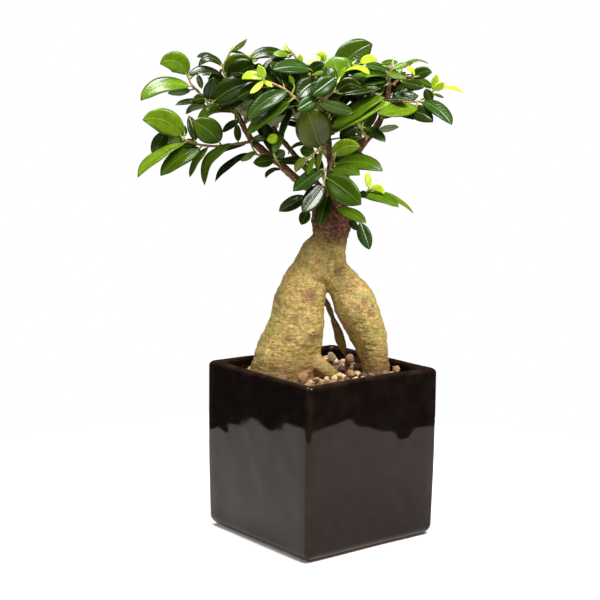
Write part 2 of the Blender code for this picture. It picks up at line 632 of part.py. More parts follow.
def petiole_root(points, place, number):
    """Where a leaf's petiole grows out of its twig: near the leaf, a little below the one before."""
    whole = sum((b - a).length for a, b in zip(points, points[1:]))
    best_gap, best_length, gone = None, 0.0, 0.0
    for a, b in zip(points, points[1:]):
        run = b - a
        share = max(0.0, min(1.0, (place - a).dot(run) / run.length_squared))
        gap = (a + run * share - place).length
        if best_gap is None or gap < best_gap:
            best_gap, best_length = gap, gone + run.length * share
        gone += run.length
    below = NODE_STEP * (1 + number % 4) + 0.05 * number
    return point_along(points, max(0.7, best_length - below) / whole)


def ring(centre, side, up, half, thick, lift=0.0):
    """Four corners of a flat diamond whose side corners are lifted."""
    rise = up * lift
    right = centre + side * half + rise
    left = centre - side * half + rise
    return [right, centre + up * thick, left, centre - up * thick]


def square_to(way, hint):
    """The unit vectors across and above a direction, with above nearest to a hint."""
    up = (hint - way * hint.dot(way)).normalized()
    return way.cross(up), up


def skin(rings, foot=None, tip=None):
    """The triangles of a closed body lofted through equal rings, with flat or pointed ends."""
    points = [point for corners in rings for point in corners]
    count = len(rings[0])
    last = (len(rings) - 1) * count
    faces = []
    for start in range(0, last, count):
        for corner in range(count):
            a = start + corner
            b = start + (corner + 1) % count
            faces.append((a, a + count, b + count))
            faces.append((a, b + count, b))
    for start, end in ((0, foot), (last, tip)):
        if end is None:
            faces.extend([(start, start + corner, start + corner + 1) for corner in range(1, count - 1)])
        else:
            points.append(end)
            peak = len(points) - 1
            faces.extend([(start + corner, peak, start + (corner + 1) % count) for corner in range(count)])
    return points, faces


def midrib_at(leaf, share):
    """The place at a share of the arched midrib's run from base to tip."""
    base, tip = leaf["base"], leaf["tip"]
    bend = (base + tip) / 2 + leaf["rise"] * 2
    return base * (1 - share) ** 2 + bend * 2 * share * (1 - share) + tip * share ** 2


def blade_skin(leaf, root, extra=0.0):
    """A leaf's blade, folded a little along its arched midrib, pointed at both ends."""
    base, tip = leaf["base"], leaf["tip"]
    bend = (base + tip) / 2 + leaf["rise"] * 2
    rings = []
    for share, broad in BLADE_STEPS:
        centre = midrib_at(leaf, share)
        ahead = ((bend - base) * (1 - share) + (tip - bend) * share).normalized()
        side, up = square_to(ahead, leaf["facing"])
        half = broad * leaf["width"] / 2 + extra
        lift = LEAF_FOLD * broad * leaf["width"] / 2
        rings.append(ring(centre, side, up, half, LEAF_HALF_THICKNESS + extra, lift))
    foot = root if sessile(leaf, root) else base
    return skin(rings, foot, tip + (tip - bend).normalized() * extra)


def sessile(leaf, root):
    """Whether a leaf sits so close to its twig that its blade starts inside the twig."""
    return (leaf["base"] - root).length < SHORT_PETIOLE


def petiole_skin(leaf, root, extra=0.0):
    """A leaf's stalk, from inside its twig to inside its blade."""
    end = leaf["base"].lerp(midrib_at(leaf, BLADE_STEPS[0][0]), PETIOLE_IN_BLADE)
    side, up = square_to((end - root).normalized(), leaf["facing"])
    size = PETIOLE_RADIUS + extra
    corners = [side * math.cos(turn) + up * math.sin(turn) for turn in PETIOLE_CORNERS]
    return skin([[place + corner * size for corner in corners] for place in (root, end)])


def leaf_skins(leaf, root, extra=0.0):
    """The closed bodies that make a leaf: its petiole, where it has one, and its blade."""
    blade = blade_skin(leaf, root, extra)
    return [blade] if sessile(leaf, root) else [petiole_skin(leaf, root, extra), blade]


def skin_bvh(*skins):
    points, faces = [], []
    for some_points, some_faces in skins:
        faces.extend([tuple(index + len(points) for index in face) for face in some_faces])
        points.extend([to_world(point) for point in some_points])
    return BVHTree.FromPolygons(points, faces)


def nudges(few):
    """Small changes to a leaf's place, the smallest first: depth of base and tip, lift, and twist."""
    yield 0, 0, 0, 0
    if few:
        for lift in (-4, 4, -8, 8):
            yield 0, 0, lift, 0
        return
    for size in (3, 6, 9, 13, 17, 22):
        for base, tip in ((0, -1), (0, 1), (-1, -1), (1, 1), (-0.5, -1), (0.5, 1), (0.5, -1), (-0.5, 1)):
            for twist in (0, 0.25, -0.25):
                yield base * size, tip * size, 0, twist
        for lift in (-0.25, 0.25, -0.5, 0.5):
            for twist in (0, 0.4, -0.4):
                yield 0, -size, lift * size, twist
                yield 0, size, lift * size, twist


def moved(leaf, change):
    """The leaf with its base and tip slid along y, its tip lifted and its blade twisted."""
    deep_base, deep_tip, lift, twist = change
    base = leaf["base"] + Vector((0, deep_base, 0))
    tip = leaf["tip"] + Vector((0, deep_tip, lift))
    way = (tip - base).normalized()
    facing = Matrix.Rotation(twist, 3, way) @ leaf["facing"]
    return {**leaf, "base": base, "tip": tip, "facing": facing}


def in_room(leaf):
    """Whether a leaf of the habit keeps inside the crown and out of its open windows."""
    bend = (leaf["base"] + leaf["tip"]) / 2 + leaf["rise"] * 2
    side = (leaf["tip"] - leaf["base"]).cross(leaf["facing"]).normalized() * (leaf["width"] / 2)
    for point in (leaf["tip"], bend + side, bend - side, (bend + leaf["tip"]) / 2):
        nearer = 1 - point.y / EYE.y
        x = EYE.x + (point.x - EYE.x) / nearer
        z = EYE.z + (point.z - EYE.z) / nearer
        low, high = np.interp(x, ROOM_X, ROOM_LOW), np.interp(x, ROOM_X, ROOM_HIGH)
        if not low <= z <= high:
            return False
        if any(x0 < x < x1 and z0 < z < z1 for x0, x1, z0, z1 in WINDOWS):
            return False
    return True


def clear_tube(name, points, radii, solids, collection, sides):
    """A tube along points, started as far along them as it takes to clear what it grows from."""
    whole = sum((b - a).length for a, b in zip(points, points[1:]))
    skip = 0.0
    while True:
        path = [point_along(points, skip / whole)]
        sizes = [radii[0]]
        gone = 0.0
        for a, b, radius in zip(points, points[1:], radii[1:]):
            gone += (b - a).length
            if gone > skip + SHORTEST_STEP:
                path.append(b)
                sizes.append(radius)
        fat = tube(name, path, [size + CLEARANCE for size in sizes], collection, "twig_bark", sides)
        test = tree_of(fat)
        discard(fat)
        if not any(test.overlap(solid) for solid in solids):
            return path, tube(name, path, sizes, collection, "twig_bark", sides)
        skip += SHORTEST_STEP / 2
        if len(path) < 3 and skip > 0.7 * whole:
            raise ValueError(f"{name} can't leave what it grows from")


def twig_tube(name, points, radii, solids, collection):
    """A twig that thins evenly from its limb to its end."""
    count = len(points) - 1
    sizes = [radii[0] + (radii[1] - radii[0]) * index / count for index in range(count + 1)]
    return clear_tube(name, points, sizes, solids, collection, TWIG_SIDES)


def place_leaf(name, leaf, shoots, solids, placed, number):
    """The first small change that leaves the leaf clear of every other piece, or None."""
    for change in nudges(leaf["habit"]):
        trial = moved(leaf, change)
        if leaf["habit"] and not in_room(trial):
            continue
        root = petiole_root(shoots[name]["path"], trial["base"], number)
        whole = skin_bvh(*leaf_skins(trial, root, CLEARANCE))
        if any(whole.overlap(solid) for solid in solids):
            continue
        if any(whole.overlap(shoot["tree"]) for owner, shoot in shoots.items() if owner != name):
            continue
        if any(whole.overlap(skin) for owner, skin, part in placed if owner != name):
            continue
        blade = skin_bvh(blade_skin(trial, root, CLEARANCE))
        if any(blade.overlap(part) for owner, skin, part in placed if owner == name):
            continue
        placed.append((name, skin_bvh(*leaf_skins(trial, root)), skin_bvh(blade_skin(trial, root))))
        return trial, root
    return None


def place_leaves(shoots, solids):
    """Find each leaf a place where it clears every other piece. Returns each shoot's leaves."""
    placed = []
    result = {name: [] for name in shoots}
    for name, shoot in shoots.items():
        for leaf in shoot["leaves"]:
            found = place_leaf(name, leaf, shoots, solids, placed, len(result[name]))
            if found:
                result[name].append(found)
            if len(result[name]) == shoot["count"]:
                break
    return result


def make_shoots(parts, cutters, solids):
    """Every leafy shoot: its twig, petioles and leaves joined into one body."""
    shoots = {}
    stems = []
    for name in list(SHOOTS) + list(BACK_SHOOTS):
        back = name in BACK_SHOOTS
        points, count = BACK_SHOOTS[name] if back else (SHOOTS[name]["twig"], 0)
        radii = BACK_TWIG_RADIUS if back else TWIG_RADIUS
        twig = [set_out(*point) for point in points]
        path, stem = twig_tube(name, twig, radii, solids + stems, parts)
        if back:
            leaves = habit_leaves(name, path, count)
        else:
            leaves = [leaf_shape(row) for row in SHOOTS[name]["leaves"]]
            count = len(leaves)
        shoots[name] = {"path": path, "stem": stem, "tree": tree_of(stem), "leaves": leaves, "count": count}
        stems.append(shoots[name]["tree"])
    found = place_leaves(shoots, solids)
    for name, leaves in found.items():
        stem = shoots[name]["stem"]
        for leaf, root in leaves:
            for piece in leaf_skins(leaf, root):
                grown = object_from_skin(name + "_piece", piece, cutters, "leaf")
                boolean(stem, grown, "UNION", LEAF_SOLVER)
                discard(grown)
        tidy_seams(stem)
        stem.data.materials.clear()
        stem.data.materials.append(material("leaf"))
        print(name, len(leaves), "of", shoots[name]["count"], "leaves")


def main():
    clear_scene()
    parts = add_collection(PARTS)
    cutters = add_collection("cutters")
    pot = make_pot(parts, cutters)
    fat_root = make_rootstock("fat_root", GAP / MM, cutters)
    fill_block("soil", POT_FLOOR + GAP, SOIL_TOP, "soil", parts, fat_root)
    gravel = fill_block("gravel_bed", SOIL_TOP + GAP, GRAVEL_TOP, "gravel", parts, fat_root)
    rootstock = make_rootstock("rootstock", 0, parts)
    stones = [make_stone(number, place, parts) for number, place in enumerate(STONES, 1)]
    solids = [tree_of(thing) for thing in [pot, gravel, rootstock, *stones]]
    for name, points in LIMBS.items():
        places = [set_out(x, z, y) for x, z, y, radius in points]
        path, limb = clear_tube(name, places, [point[3] for point in points], solids, parts, LIMB_SIDES)
        solids.append(tree_of(limb))
    make_shoots(parts, cutters, solids)
    discard(fat_root)
    bpy.data.collections.remove(cutters)


main()
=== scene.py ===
# %% [markdown]
# # A ginseng fig bonsai in a square glazed pot
#
# The solid model is already made and packed, and it says where every piece is. This lesson gives the
# same pieces their looks: a slip-cast pot with a gloss glaze, loose gravel, a swollen root with thin
# bark, and a crown of waxy leaves. Every piece is built around the model that is loaded here.

import math
import random

import bmesh
import bpy
import numpy as np
from mathutils import Matrix, Vector, noise
from mathutils.bvhtree import BVHTree


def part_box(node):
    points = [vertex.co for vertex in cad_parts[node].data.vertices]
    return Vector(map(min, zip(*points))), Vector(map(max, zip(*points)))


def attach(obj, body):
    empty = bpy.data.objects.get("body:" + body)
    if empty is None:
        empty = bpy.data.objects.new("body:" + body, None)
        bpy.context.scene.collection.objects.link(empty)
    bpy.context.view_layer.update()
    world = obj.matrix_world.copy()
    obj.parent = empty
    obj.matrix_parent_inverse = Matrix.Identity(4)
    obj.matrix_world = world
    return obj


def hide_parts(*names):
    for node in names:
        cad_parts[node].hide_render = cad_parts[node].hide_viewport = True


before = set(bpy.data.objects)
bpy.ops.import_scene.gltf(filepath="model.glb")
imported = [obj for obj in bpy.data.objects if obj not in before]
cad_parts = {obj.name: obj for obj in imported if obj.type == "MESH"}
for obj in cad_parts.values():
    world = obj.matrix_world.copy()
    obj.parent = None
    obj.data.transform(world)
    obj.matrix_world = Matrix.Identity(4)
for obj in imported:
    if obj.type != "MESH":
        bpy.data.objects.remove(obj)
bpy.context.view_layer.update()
MM = 0.001
print("solid model:", len(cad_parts), "nodes")

# %% [markdown]
# ## Colours and shader nodes
#
# Paint charts and swatches are given as sRGB hex values, but a renderer adds up light in linear
# values, so one function converts them. A material could be wired by hand in the node editor; here
# one small function adds any node with its settings and links, which keeps each finish short.


# %% Helpers for colour and nodes
def linear(code):
    """An sRGB hex colour as linear RGBA."""
    values = [int(code[i:i + 2], 16) / 255 for i in (0, 2, 4)]
    return tuple(v / 12.92 if v <= 0.04045 else ((v + 0.055) / 1.055) ** 2.4 for v in values) + (1.0,)


def fill(tree, socket, value):
    """Link a socket to another, or set it to a value."""
    if isinstance(value, bpy.types.NodeSocket):
        tree.links.new(value, socket)
    else:
        socket.default_value = value


def add(tree, kind, settings=None, **inputs):
    """Add a node, set its properties, and fill or link its inputs (an underscore stands for a space)."""
    made = tree.nodes.new("ShaderNode" + kind)
    for key, value in (settings or {}).items():
        setattr(made, key, value)
    for key, value in inputs.items():
        place = int(key[1:]) if key[0] == "i" and key[1:].isdigit() else key.replace("_", " ")
        fill(tree, made.inputs[place], value)
    return made


def finish_named(name, **values):
    """A new material with its shader. Values are set on the shader's own sockets."""
    made = bpy.data.materials.new(name)
    made.use_nodes = True
    tree = made.node_tree
    shader = tree.nodes["Principled BSDF"]
    for key, value in values.items():
        fill(tree, shader.inputs[key.replace("_", " ")], value)
    return made, tree, shader


def ramp(tree, factor, stops):
    """A colour ramp through (place, hex colour) stops."""
    made = add(tree, "ValToRGB", Fac=factor)
    elements = made.color_ramp.elements
    while len(elements) < len(stops):
        elements.new(0.5)
    for element, (place, code) in zip(elements, stops):
        element.position = place
        element.color = linear(code)
    return made.outputs["Color"]


def blended(tree, share, first, second, kind="MIX"):
    """first turning to second by a share, as colours."""
    made = add(tree, "Mix", {"data_type": "RGBA", "blend_type": kind}, Factor=share, i6=first, i7=second)
    return made.outputs[2]


def between(tree, value, low, high, first=0.0, second=1.0):
    """A value taken from low..high to first..second and kept there."""
    settings = {"interpolation_type": "SMOOTHSTEP"}
    made = add(tree, "MapRange", settings, i0=value, i1=low, i2=high, i3=first, i4=second)
    return made.outputs[0]


def grain(tree, place, size_mm, detail=3.0, rough=0.55, stretch=(1, 1, 1)):
    """Cloudy noise whose blotches are size_mm across, stretched along each axis."""
    spread = add(tree, "Mapping", Vector=place, Scale=[1 / s for s in stretch])
    made = add(tree, "TexNoise", Vector=spread.outputs[0], Scale=1 / (size_mm * MM), Detail=detail,
               Roughness=rough)
    return made.outputs["Fac"]


def relief(tree, shader, height, depth_mm, below=None):
    """Bump of a real depth in millimetres on a shader."""
    made = add(tree, "Bump", Height=height, Distance=depth_mm * MM, Strength=1.0)
    if below is not None:
        tree.links.new(below, made.inputs["Normal"])
    tree.links.new(made.outputs[0], shader.inputs["Normal"])
    return made.outputs[0]


def reckoned(tree, operation, *values):
    """The result of a sum on values or sockets."""
    inputs = {f"i{place}": value for place, value in enumerate(values)}
    return add(tree, "Math", {"operation": operation}, **inputs).outputs[0]


def stored(tree, name):
    """What a mesh stores at its points under a name."""
    return add(tree, "Attribute", {"attribute_name": name}).outputs


def store(made, name, kind, key, values):
    """Keep one value at each point of a mesh, for a finish to read."""
    made.data.attributes.new(name, kind, "POINT").data.foreach_set(key, values)


def object_place(tree):
    return add(tree, "TexCoord").outputs["Object"]


print("colour check, mid grey:", round(linear("808080")[0], 3))

# %% [markdown]
# ## Glaze
#
# The pot is stoneware, slip-cast and dipped in a brown-black gloss glaze. A gloss glaze is glass: it
# has an IOR near 1.5 and almost no roughness. Its mirror strength is set to less than half of
# clear glass's, so that the bright table doesn't turn the dark glaze grey. It shows a mirror image of
# the floor and of the dark room. It runs thin over the rim and edges, where the warm clay shows
# through, and it is wiped off the foot, which leaves a matt line of bare clay. Dipping leaves slow
# waves in it, so a very shallow relief bends the mirror image a little.


# %% Glazed stoneware
def glazed_stoneware():
    made, tree, shader = finish_named("glazed_stoneware", Roughness=0.05, IOR=1.5,
                                      Specular_IOR_Level=0.19, Specular_Tint=linear("FFE2D6"))
    place = object_place(tree)
    thin = stored(tree, "thin_glaze")["Fac"]
    cloud = grain(tree, place, 9, 4)
    body = blended(tree, between(tree, cloud, 0.35, 0.75), linear("0E0907"), linear("15100D"))
    edge = blended(tree, between(tree, cloud, 0.3, 0.7), linear("1A100C"), linear("2E1F18"))
    coat = blended(tree, thin, body, edge)
    bare = stored(tree, "bare_clay")["Fac"]
    clay = blended(tree, grain(tree, place, 1.2), linear("A8683F"), linear("C58B5C"))
    tree.links.new(blended(tree, bare, coat, clay), shader.inputs["Base Color"])
    tree.links.new(between(tree, bare, 0.2, 0.8, 0.05, 0.8), shader.inputs["Roughness"])
    waves = relief(tree, shader, grain(tree, place, 30, 1.0), 0.9)
    relief(tree, shader, grain(tree, place, 1.6, 2.0), 0.012, waves)
    return made


GLAZE = glazed_stoneware()
print("finish:", GLAZE.name)

# %% [markdown]
# ## The pot
#
# A square slip-cast planter, 134 mm a side. A cube with bevels would look machined, but a cast wall
# sags a little as it dries and its rim waves. So the wall is drawn as a profile, from the foot up the
# outside, over the rim and down inside, and each point of the profile carries a rounded square. A
# few tenths of a millimetre of slow noise make it a cast thing.

# %% Build the pot
pot_low, pot_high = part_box("pot")
POT_SIDE = pot_high.x - pot_low.x
POT_HEIGHT = pot_high.z
POT_WALL = 8 * MM
POT_FLOOR = 8 * MM
POT_CORNER = 4.5 * MM
FOOT_ROUND = 8.5 * MM
RIM_ROUND = 3.9 * MM
SIDE_STEPS = 14
CORNER_STEPS = 8


def mesh_object(name, points, faces, *finishes, smooth=True):
    """A new mesh object from points and faces, in metres, with its finishes."""
    mesh = bpy.data.meshes.new(name)
    mesh.from_pydata([tuple(p) for p in points], [], faces)
    mesh.validate()
    mesh.shade_smooth() if smooth else mesh.shade_flat()
    made = bpy.data.objects.new(name, mesh)
    bpy.context.scene.collection.objects.link(made)
    for finish in finishes:
        mesh.materials.append(finish)
    return made


def rounded_square(half, corner, z):
    """Points round a square of rounded corners, the same number for every size."""
    points = []
    flat = half - corner
    for quarter in range(4):
        turn = Matrix.Rotation(quarter * math.pi / 2, 3, "Z")
        for step in range(SIDE_STEPS):
            points.append(turn @ Vector((half, -flat + 2 * flat * step / SIDE_STEPS, z)))
        for step in range(CORNER_STEPS):
            angle = math.pi / 2 * step / CORNER_STEPS
            x, y = flat + corner * math.cos(angle), flat + corner * math.sin(angle)
            points.append(turn @ Vector((x, y, z)))
    return points


def arc(centre_out, centre_z, radius, start, end, steps):
    """Places (distance out, height) round part of a circle, in degrees from the outward side."""
    angles = [math.radians(start + (end - start) * i / steps) for i in range(steps + 1)]
    return [(centre_out + radius * math.cos(a), centre_z + radius * math.sin(a)) for a in angles]


def pot_profile():
    half = POT_SIDE / 2
    inner = half - POT_WALL
    up = [POT_HEIGHT * share for share in (0.12, 0.25, 0.38, 0.5, 0.62, 0.75, 0.87)]
    profile = [(0.02, 0.0), (half - FOOT_ROUND - 6 * MM, 0.0)]
    profile += arc(half - FOOT_ROUND, FOOT_ROUND, FOOT_ROUND, -90, 0, 8)
    profile += [(half, z) for z in up]
    profile += arc(half - RIM_ROUND, POT_HEIGHT - RIM_ROUND, RIM_ROUND, 0, 90, 6)
    profile += arc(inner + RIM_ROUND, POT_HEIGHT - RIM_ROUND, RIM_ROUND, 90, 180, 6)
    profile += [(inner, z) for z in reversed(up)]
    profile += arc(inner - FOOT_ROUND / 2, POT_FLOOR + FOOT_ROUND / 2, FOOT_ROUND / 2, 0, -90, 4)
    profile += [(0.02, POT_FLOOR)]
    return profile


def cast_sag(point):
    """Slow unevenness of a cast wall: it narrows to the foot, swells a little and its rim waves."""
    rise = point.z / POT_HEIGHT
    out = Vector((point.x, point.y, 0))
    belly = 0.0007 * math.sin(math.pi * min(rise, 1.0)) - 0.0016 * max(0.0, 1 - rise)
    swing = 0.0005 * noise.noise(point * 22) + belly
    wave = 0.0009 * rise ** 2 * noise.noise(Vector((point.x, point.y, 0)) * 26 + Vector((3, 1, 0)))
    return point + out.normalized() * swing + Vector((0, 0, wave - 0.0003 * rise))


def make_pot():
    points, faces = [], []
    profile = pot_profile()
    for out, z in profile:
        corner = max(0.0015, POT_CORNER - max(0.0, POT_SIDE / 2 - out) * 0.25)
        points.extend(rounded_square(out, min(corner, out * 0.9), z))
    count = 4 * (SIDE_STEPS + CORNER_STEPS)
    for level in range(len(profile) - 1):
        for place in range(count):
            after = (place + 1) % count
            a, b = level * count, (level + 1) * count
            faces.append((a + place, a + after, b + after, b + place))
    faces.append(tuple(reversed(range(count))))
    faces.append(tuple(range((len(profile) - 1) * count, len(profile) * count)))
    made = mesh_object("glazed_pot", [cast_sag(p) for p in points], faces, GLAZE)
    half = POT_SIDE / 2
    thin, bare = [], []
    for point in points:
        rim = max(0.0, 1 - abs(point.z - POT_HEIGHT + 0.6 * MM) / (2.6 * MM))
        flat = half - POT_CORNER
        diagonal = math.hypot(max(0.0, abs(point.x) - flat), max(0.0, abs(point.y) - flat)) / POT_CORNER
        upright = 0.35 * max(0.0, diagonal - 0.9) * 10 if min(abs(point.x), abs(point.y)) > flat else 0.0
        thin.append(min(1.0, rim + min(0.3, upright)))
        bare.append(max(0.0, min(1.0, (1.3 * MM - point.z) / (0.5 * MM))))
    store(made, "thin_glaze", "FLOAT", "value", thin)
    store(made, "bare_clay", "FLOAT", "value", bare)
    return made


pot = make_pot()
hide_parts("pot")
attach(pot, "root")
print("pot:", len(pot.data.polygons), "faces, side", round(POT_SIDE * 1000), "mm")

# %% [markdown]
# ## Soil and gravel
#
# Under the gravel is dark potting compost, a mix of peat and bark crumbs. It only shows in chinks, so
# the solid block stays and takes a rough, crumbly finish. The gravel on top is crushed stone of 5 to
# 12 mm in beige, pink-brown and grey. Scattering copies of one stone would show the repeats, so each
# is a ball pushed in and out by its own noise and flattened on a few sides.


# %% Compost and stone finishes
def potting_compost():
    made, tree, shader = finish_named("potting_compost", Roughness=0.95)
    place = object_place(tree)
    crumbs = grain(tree, place, 1.5, 5)
    tree.links.new(ramp(tree, crumbs, [(0.3, "140C07"), (0.55, "2C1C12"), (0.75, "4A3323")]),
                   shader.inputs["Base Color"])
    relief(tree, shader, crumbs, 0.8)
    return made


def crushed_stone():
    made, tree, shader = finish_named("crushed_stone", Roughness=0.82)
    place = object_place(tree)
    tint = stored(tree, "stone_tint")["Color"]
    specks = between(tree, grain(tree, place, 0.7, 3), 0.35, 0.7)
    dusty = blended(tree, specks, tint, linear("CDBFA8"), "MULTIPLY")
    spotted = blended(tree, between(tree, grain(tree, place, 2.2, 3), 0.5, 0.75), tint, dusty)
    tree.links.new(spotted, shader.inputs["Base Color"])
    relief(tree, shader, grain(tree, place, 0.6, 4), 0.15)
    return made


COMPOST = potting_compost()
STONE = crushed_stone()
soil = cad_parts["soil"]
soil.data.materials.clear()
soil.data.materials.append(COMPOST)
print("finishes:", COMPOST.name, STONE.name)

# %% Shape the stones and the gravel layer
STONE_TINTS = [
    "B8966C", "96704F", "CDAF82", "846A54", "70594A",
    "A5805F", "523A2C", "BC9A72", "D8BC8E", "664E3C",
]
GRAVEL_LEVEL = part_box("gravel_bed")[1].z
INSIDE = POT_SIDE / 2 - POT_WALL


def pebble(rng, centre, size, turn, detail):
    """Points and triangles of one crushed stone."""
    bm = bmesh.new()
    bmesh.ops.create_icosphere(bm, subdivisions=detail, radius=0.5)
    shift = Vector([rng.uniform(-50, 50) for axis in range(3)])
    cuts = [Vector([rng.gauss(0, 1) for axis in range(3)]).normalized() for cut in range(9)]
    for vertex in bm.verts:
        place = vertex.co * (1 + 0.28 * noise.noise(vertex.co * 2.4 + shift))
        for cut in cuts:
            over = place.dot(cut) - 0.34
            if over > 0:
                place -= cut * over * 0.92
        place *= 1 + 0.05 * noise.noise(vertex.co * 9 + shift)
        vertex.co = place
    bmesh.ops.scale(bm, verts=bm.verts, vec=size)
    bmesh.ops.rotate(bm, verts=bm.verts, matrix=turn)
    bmesh.ops.translate(bm, verts=bm.verts, vec=centre)
    points = [vertex.co.copy() for vertex in bm.verts]
    faces = [tuple(vertex.index for vertex in face.verts) for face in bm.faces]
    bm.free()
    return points, faces


def tinted(made, colours):
    """Store one colour at each point of a mesh."""
    store(made, "stone_tint", "FLOAT_COLOR", "color", [value for colour in colours for value in colour])


for number in range(1, 15):
    node = f"stone_{number:02d}"
    low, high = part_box(node)
    rng = random.Random(node)
    size = (high - low) * 1.1
    middle = (low + high) / 2
    turn = Matrix.Rotation(rng.uniform(-0.3, 0.3), 3, "X")
    points, faces = pebble(rng, middle, size, turn, 4)
    stone = mesh_object("worn_" + node, points, faces, STONE)
    colour = linear(rng.choice(STONE_TINTS))
    tinted(stone, [colour] * len(points))
    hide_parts(node)
    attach(stone, "root")
print("stones: 14")


def solid_tree(name, lift=0.0):
    """The triangles of a node of the solid model, for overlap and nearness tests."""
    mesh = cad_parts[name].data
    mesh.calc_loop_triangles()
    points = [vertex.co.copy() for vertex in mesh.vertices]
    return BVHTree.FromPolygons(points, [tuple(t.vertices) for t in mesh.loop_triangles])


def make_gravel():
    """A lumpy bed with a few hundred stones lying on and in it."""
    rng = random.Random("gravel")
    root = solid_tree("rootstock")
    steps = 56
    half = INSIDE - 0.4 * MM
    points, faces, colours = [], [], []
    bed = linear("57463A")
    for row in range(steps + 1):
        for column in range(steps + 1):
            x = -half + 2 * half * column / steps
            y = -half + 2 * half * row / steps
            lump = 1.4 * MM * noise.noise(Vector((x, y, 0)) * 260) - 2.6 * MM
            points.append(Vector((x, y, GRAVEL_LEVEL + lump)))
            colours.append(bed)
    for row in range(steps):
        for column in range(steps):
            a = row * (steps + 1) + column
            faces.append((a, a + 1, a + steps + 2, a + steps + 1))
    placed = []
    for attempt in range(4200):
        length = rng.choice((6, 7.5, 9, 10.5)) * rng.uniform(0.85, 1.15) * MM
        margin = half - length * 0.5
        x, y = rng.uniform(-margin, margin), rng.uniform(-margin, margin)
        layer = 0 if attempt < 2400 else 1
        z = GRAVEL_LEVEL - (1.6, -0.6)[layer] * MM + rng.uniform(-0.6, 0.6) * MM
        spot = Vector((x, y, z))
        near = root.find_nearest(spot)
        if near[3] is not None and near[3] < length * 0.5:
            continue
        if any((spot - other).length < (length + size) * 0.39 for other, size in placed):
            continue
        placed.append((spot, length))
        size = Vector((length, length * rng.uniform(0.7, 0.95), length * rng.uniform(0.6, 0.8)))
        turn = Matrix.Rotation(rng.uniform(0, math.pi), 3, "Z")
        turn = turn @ Matrix.Rotation(rng.uniform(-0.5, 0.5), 3, "X")
        some, triangles = pebble(rng, spot, size, turn, 3)
        start = len(points)
        points.extend(some)
        faces.extend([tuple(index + start for index in face) for face in triangles])
        colours.extend([linear(rng.choice(STONE_TINTS))] * len(some))
    made = mesh_object("loose_gravel", points, faces, STONE)
    tinted(made, colours)
    return made, len(placed)


gravel, gravel_count = make_gravel()
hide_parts("gravel_bed")
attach(gravel, "root")
print("gravel:", gravel_count, "stones,", len(gravel.data.polygons), "faces")

# %% [markdown]
# ## Bark
#
# The swollen root has thin, tight bark: greenish beige where light reaches it, brown where it touches
# the gravel, with pale lenticels (breathing pores) in short rows across it and fine rings where it
# stretched. The graft above is darker and scaly. The limbs are younger wood, red-brown with pale
# pores, and the twigs are pale brown. All are matt, with a roughness near 0.6.


# %% Bark finishes
LENTICEL_MM = 3.4
GRAFT_LOW, GRAFT_HIGH = 0.2470, 0.2640
DAMP_LOW, DAMP_HIGH = 0.146, 0.172


def swollen_root_bark():
    made, tree, shader = finish_named("swollen_root_bark", Roughness=0.62, Specular_IOR_Level=0.35)
    place = object_place(tree)
    parts = add(tree, "SeparateXYZ", i0=place)
    height = parts.outputs["Z"]
    clouds = grain(tree, place, 20, 4, 0.6)
    mottle = grain(tree, place, 3.0, 5, 0.6, (1, 1, 0.7))
    skin = ramp(tree, mottle, [(0.28, "785C2A"), (0.44, "A08344"), (0.60, "BA9F5C"), (0.76, "D6C284")])
    moss = blended(tree, mottle, linear("66642C"), linear("A09A50"))
    skin = blended(tree, between(tree, clouds, 0.46, 0.60, 0.0, 0.5), skin, moss)
    drift = grain(tree, place, 13, 5, 0.7, (1, 1, 1.3))
    skin = blended(tree, between(tree, drift, 0.52, 0.66, 0.0, 0.75), skin, linear("7C5238"))
    fleck = grain(tree, place, 1.7, 3, 0.6, (1.6, 1.6, 0.6))
    skin = blended(tree, between(tree, fleck, 0.62, 0.74, 0.0, 0.75), skin, linear("54381F"))
    squashed = add(tree, "Mapping", Vector=place, Scale=(1, 1, 1.9)).outputs[0]
    spots = add(tree, "TexVoronoi", {"distance": "EUCLIDEAN"}, Vector=squashed,
                Scale=1 / (LENTICEL_MM * MM), Randomness=1.0)
    pores = between(tree, spots.outputs["Distance"], 0.13, 0.24, 1.0, 0.0)
    pick = add(tree, "SeparateColor", i0=spots.outputs["Color"])
    pores = reckoned(tree, "MULTIPLY", pores, between(
        tree, pick.outputs[0], 0.35, 0.45))
    skin = blended(tree, pores, skin, ramp(tree, pick.outputs[1], [(0.3, "4A3018"), (0.6, "D8C99A")]))
    ragged = reckoned(tree, "MULTIPLY_ADD", clouds, 0.030, height)
    graft = between(tree, ragged, GRAFT_LOW, GRAFT_HIGH)
    scaly = ramp(tree, mottle, [(0.32, "24100A"), (0.48, "4A2412"), (0.60, "7A4522"), (0.75, "A06A3A")])
    skin = blended(tree, graft, skin, scaly)
    damp = between(tree, ragged, DAMP_LOW, DAMP_HIGH, 1.0, 0.0)
    skin = blended(tree, reckoned(tree, "MULTIPLY", damp, 0.7),
                   skin, linear("6A4526"))
    tree.links.new(skin, shader.inputs["Base Color"])
    rings = grain(tree, place, 5, 4, 0.6, (3.5, 3.5, 0.35))
    first = relief(tree, shader, rings, 0.8)
    second = relief(tree, shader, mottle, 0.95, first)
    relief(tree, shader, pores, 0.3, second)
    return made


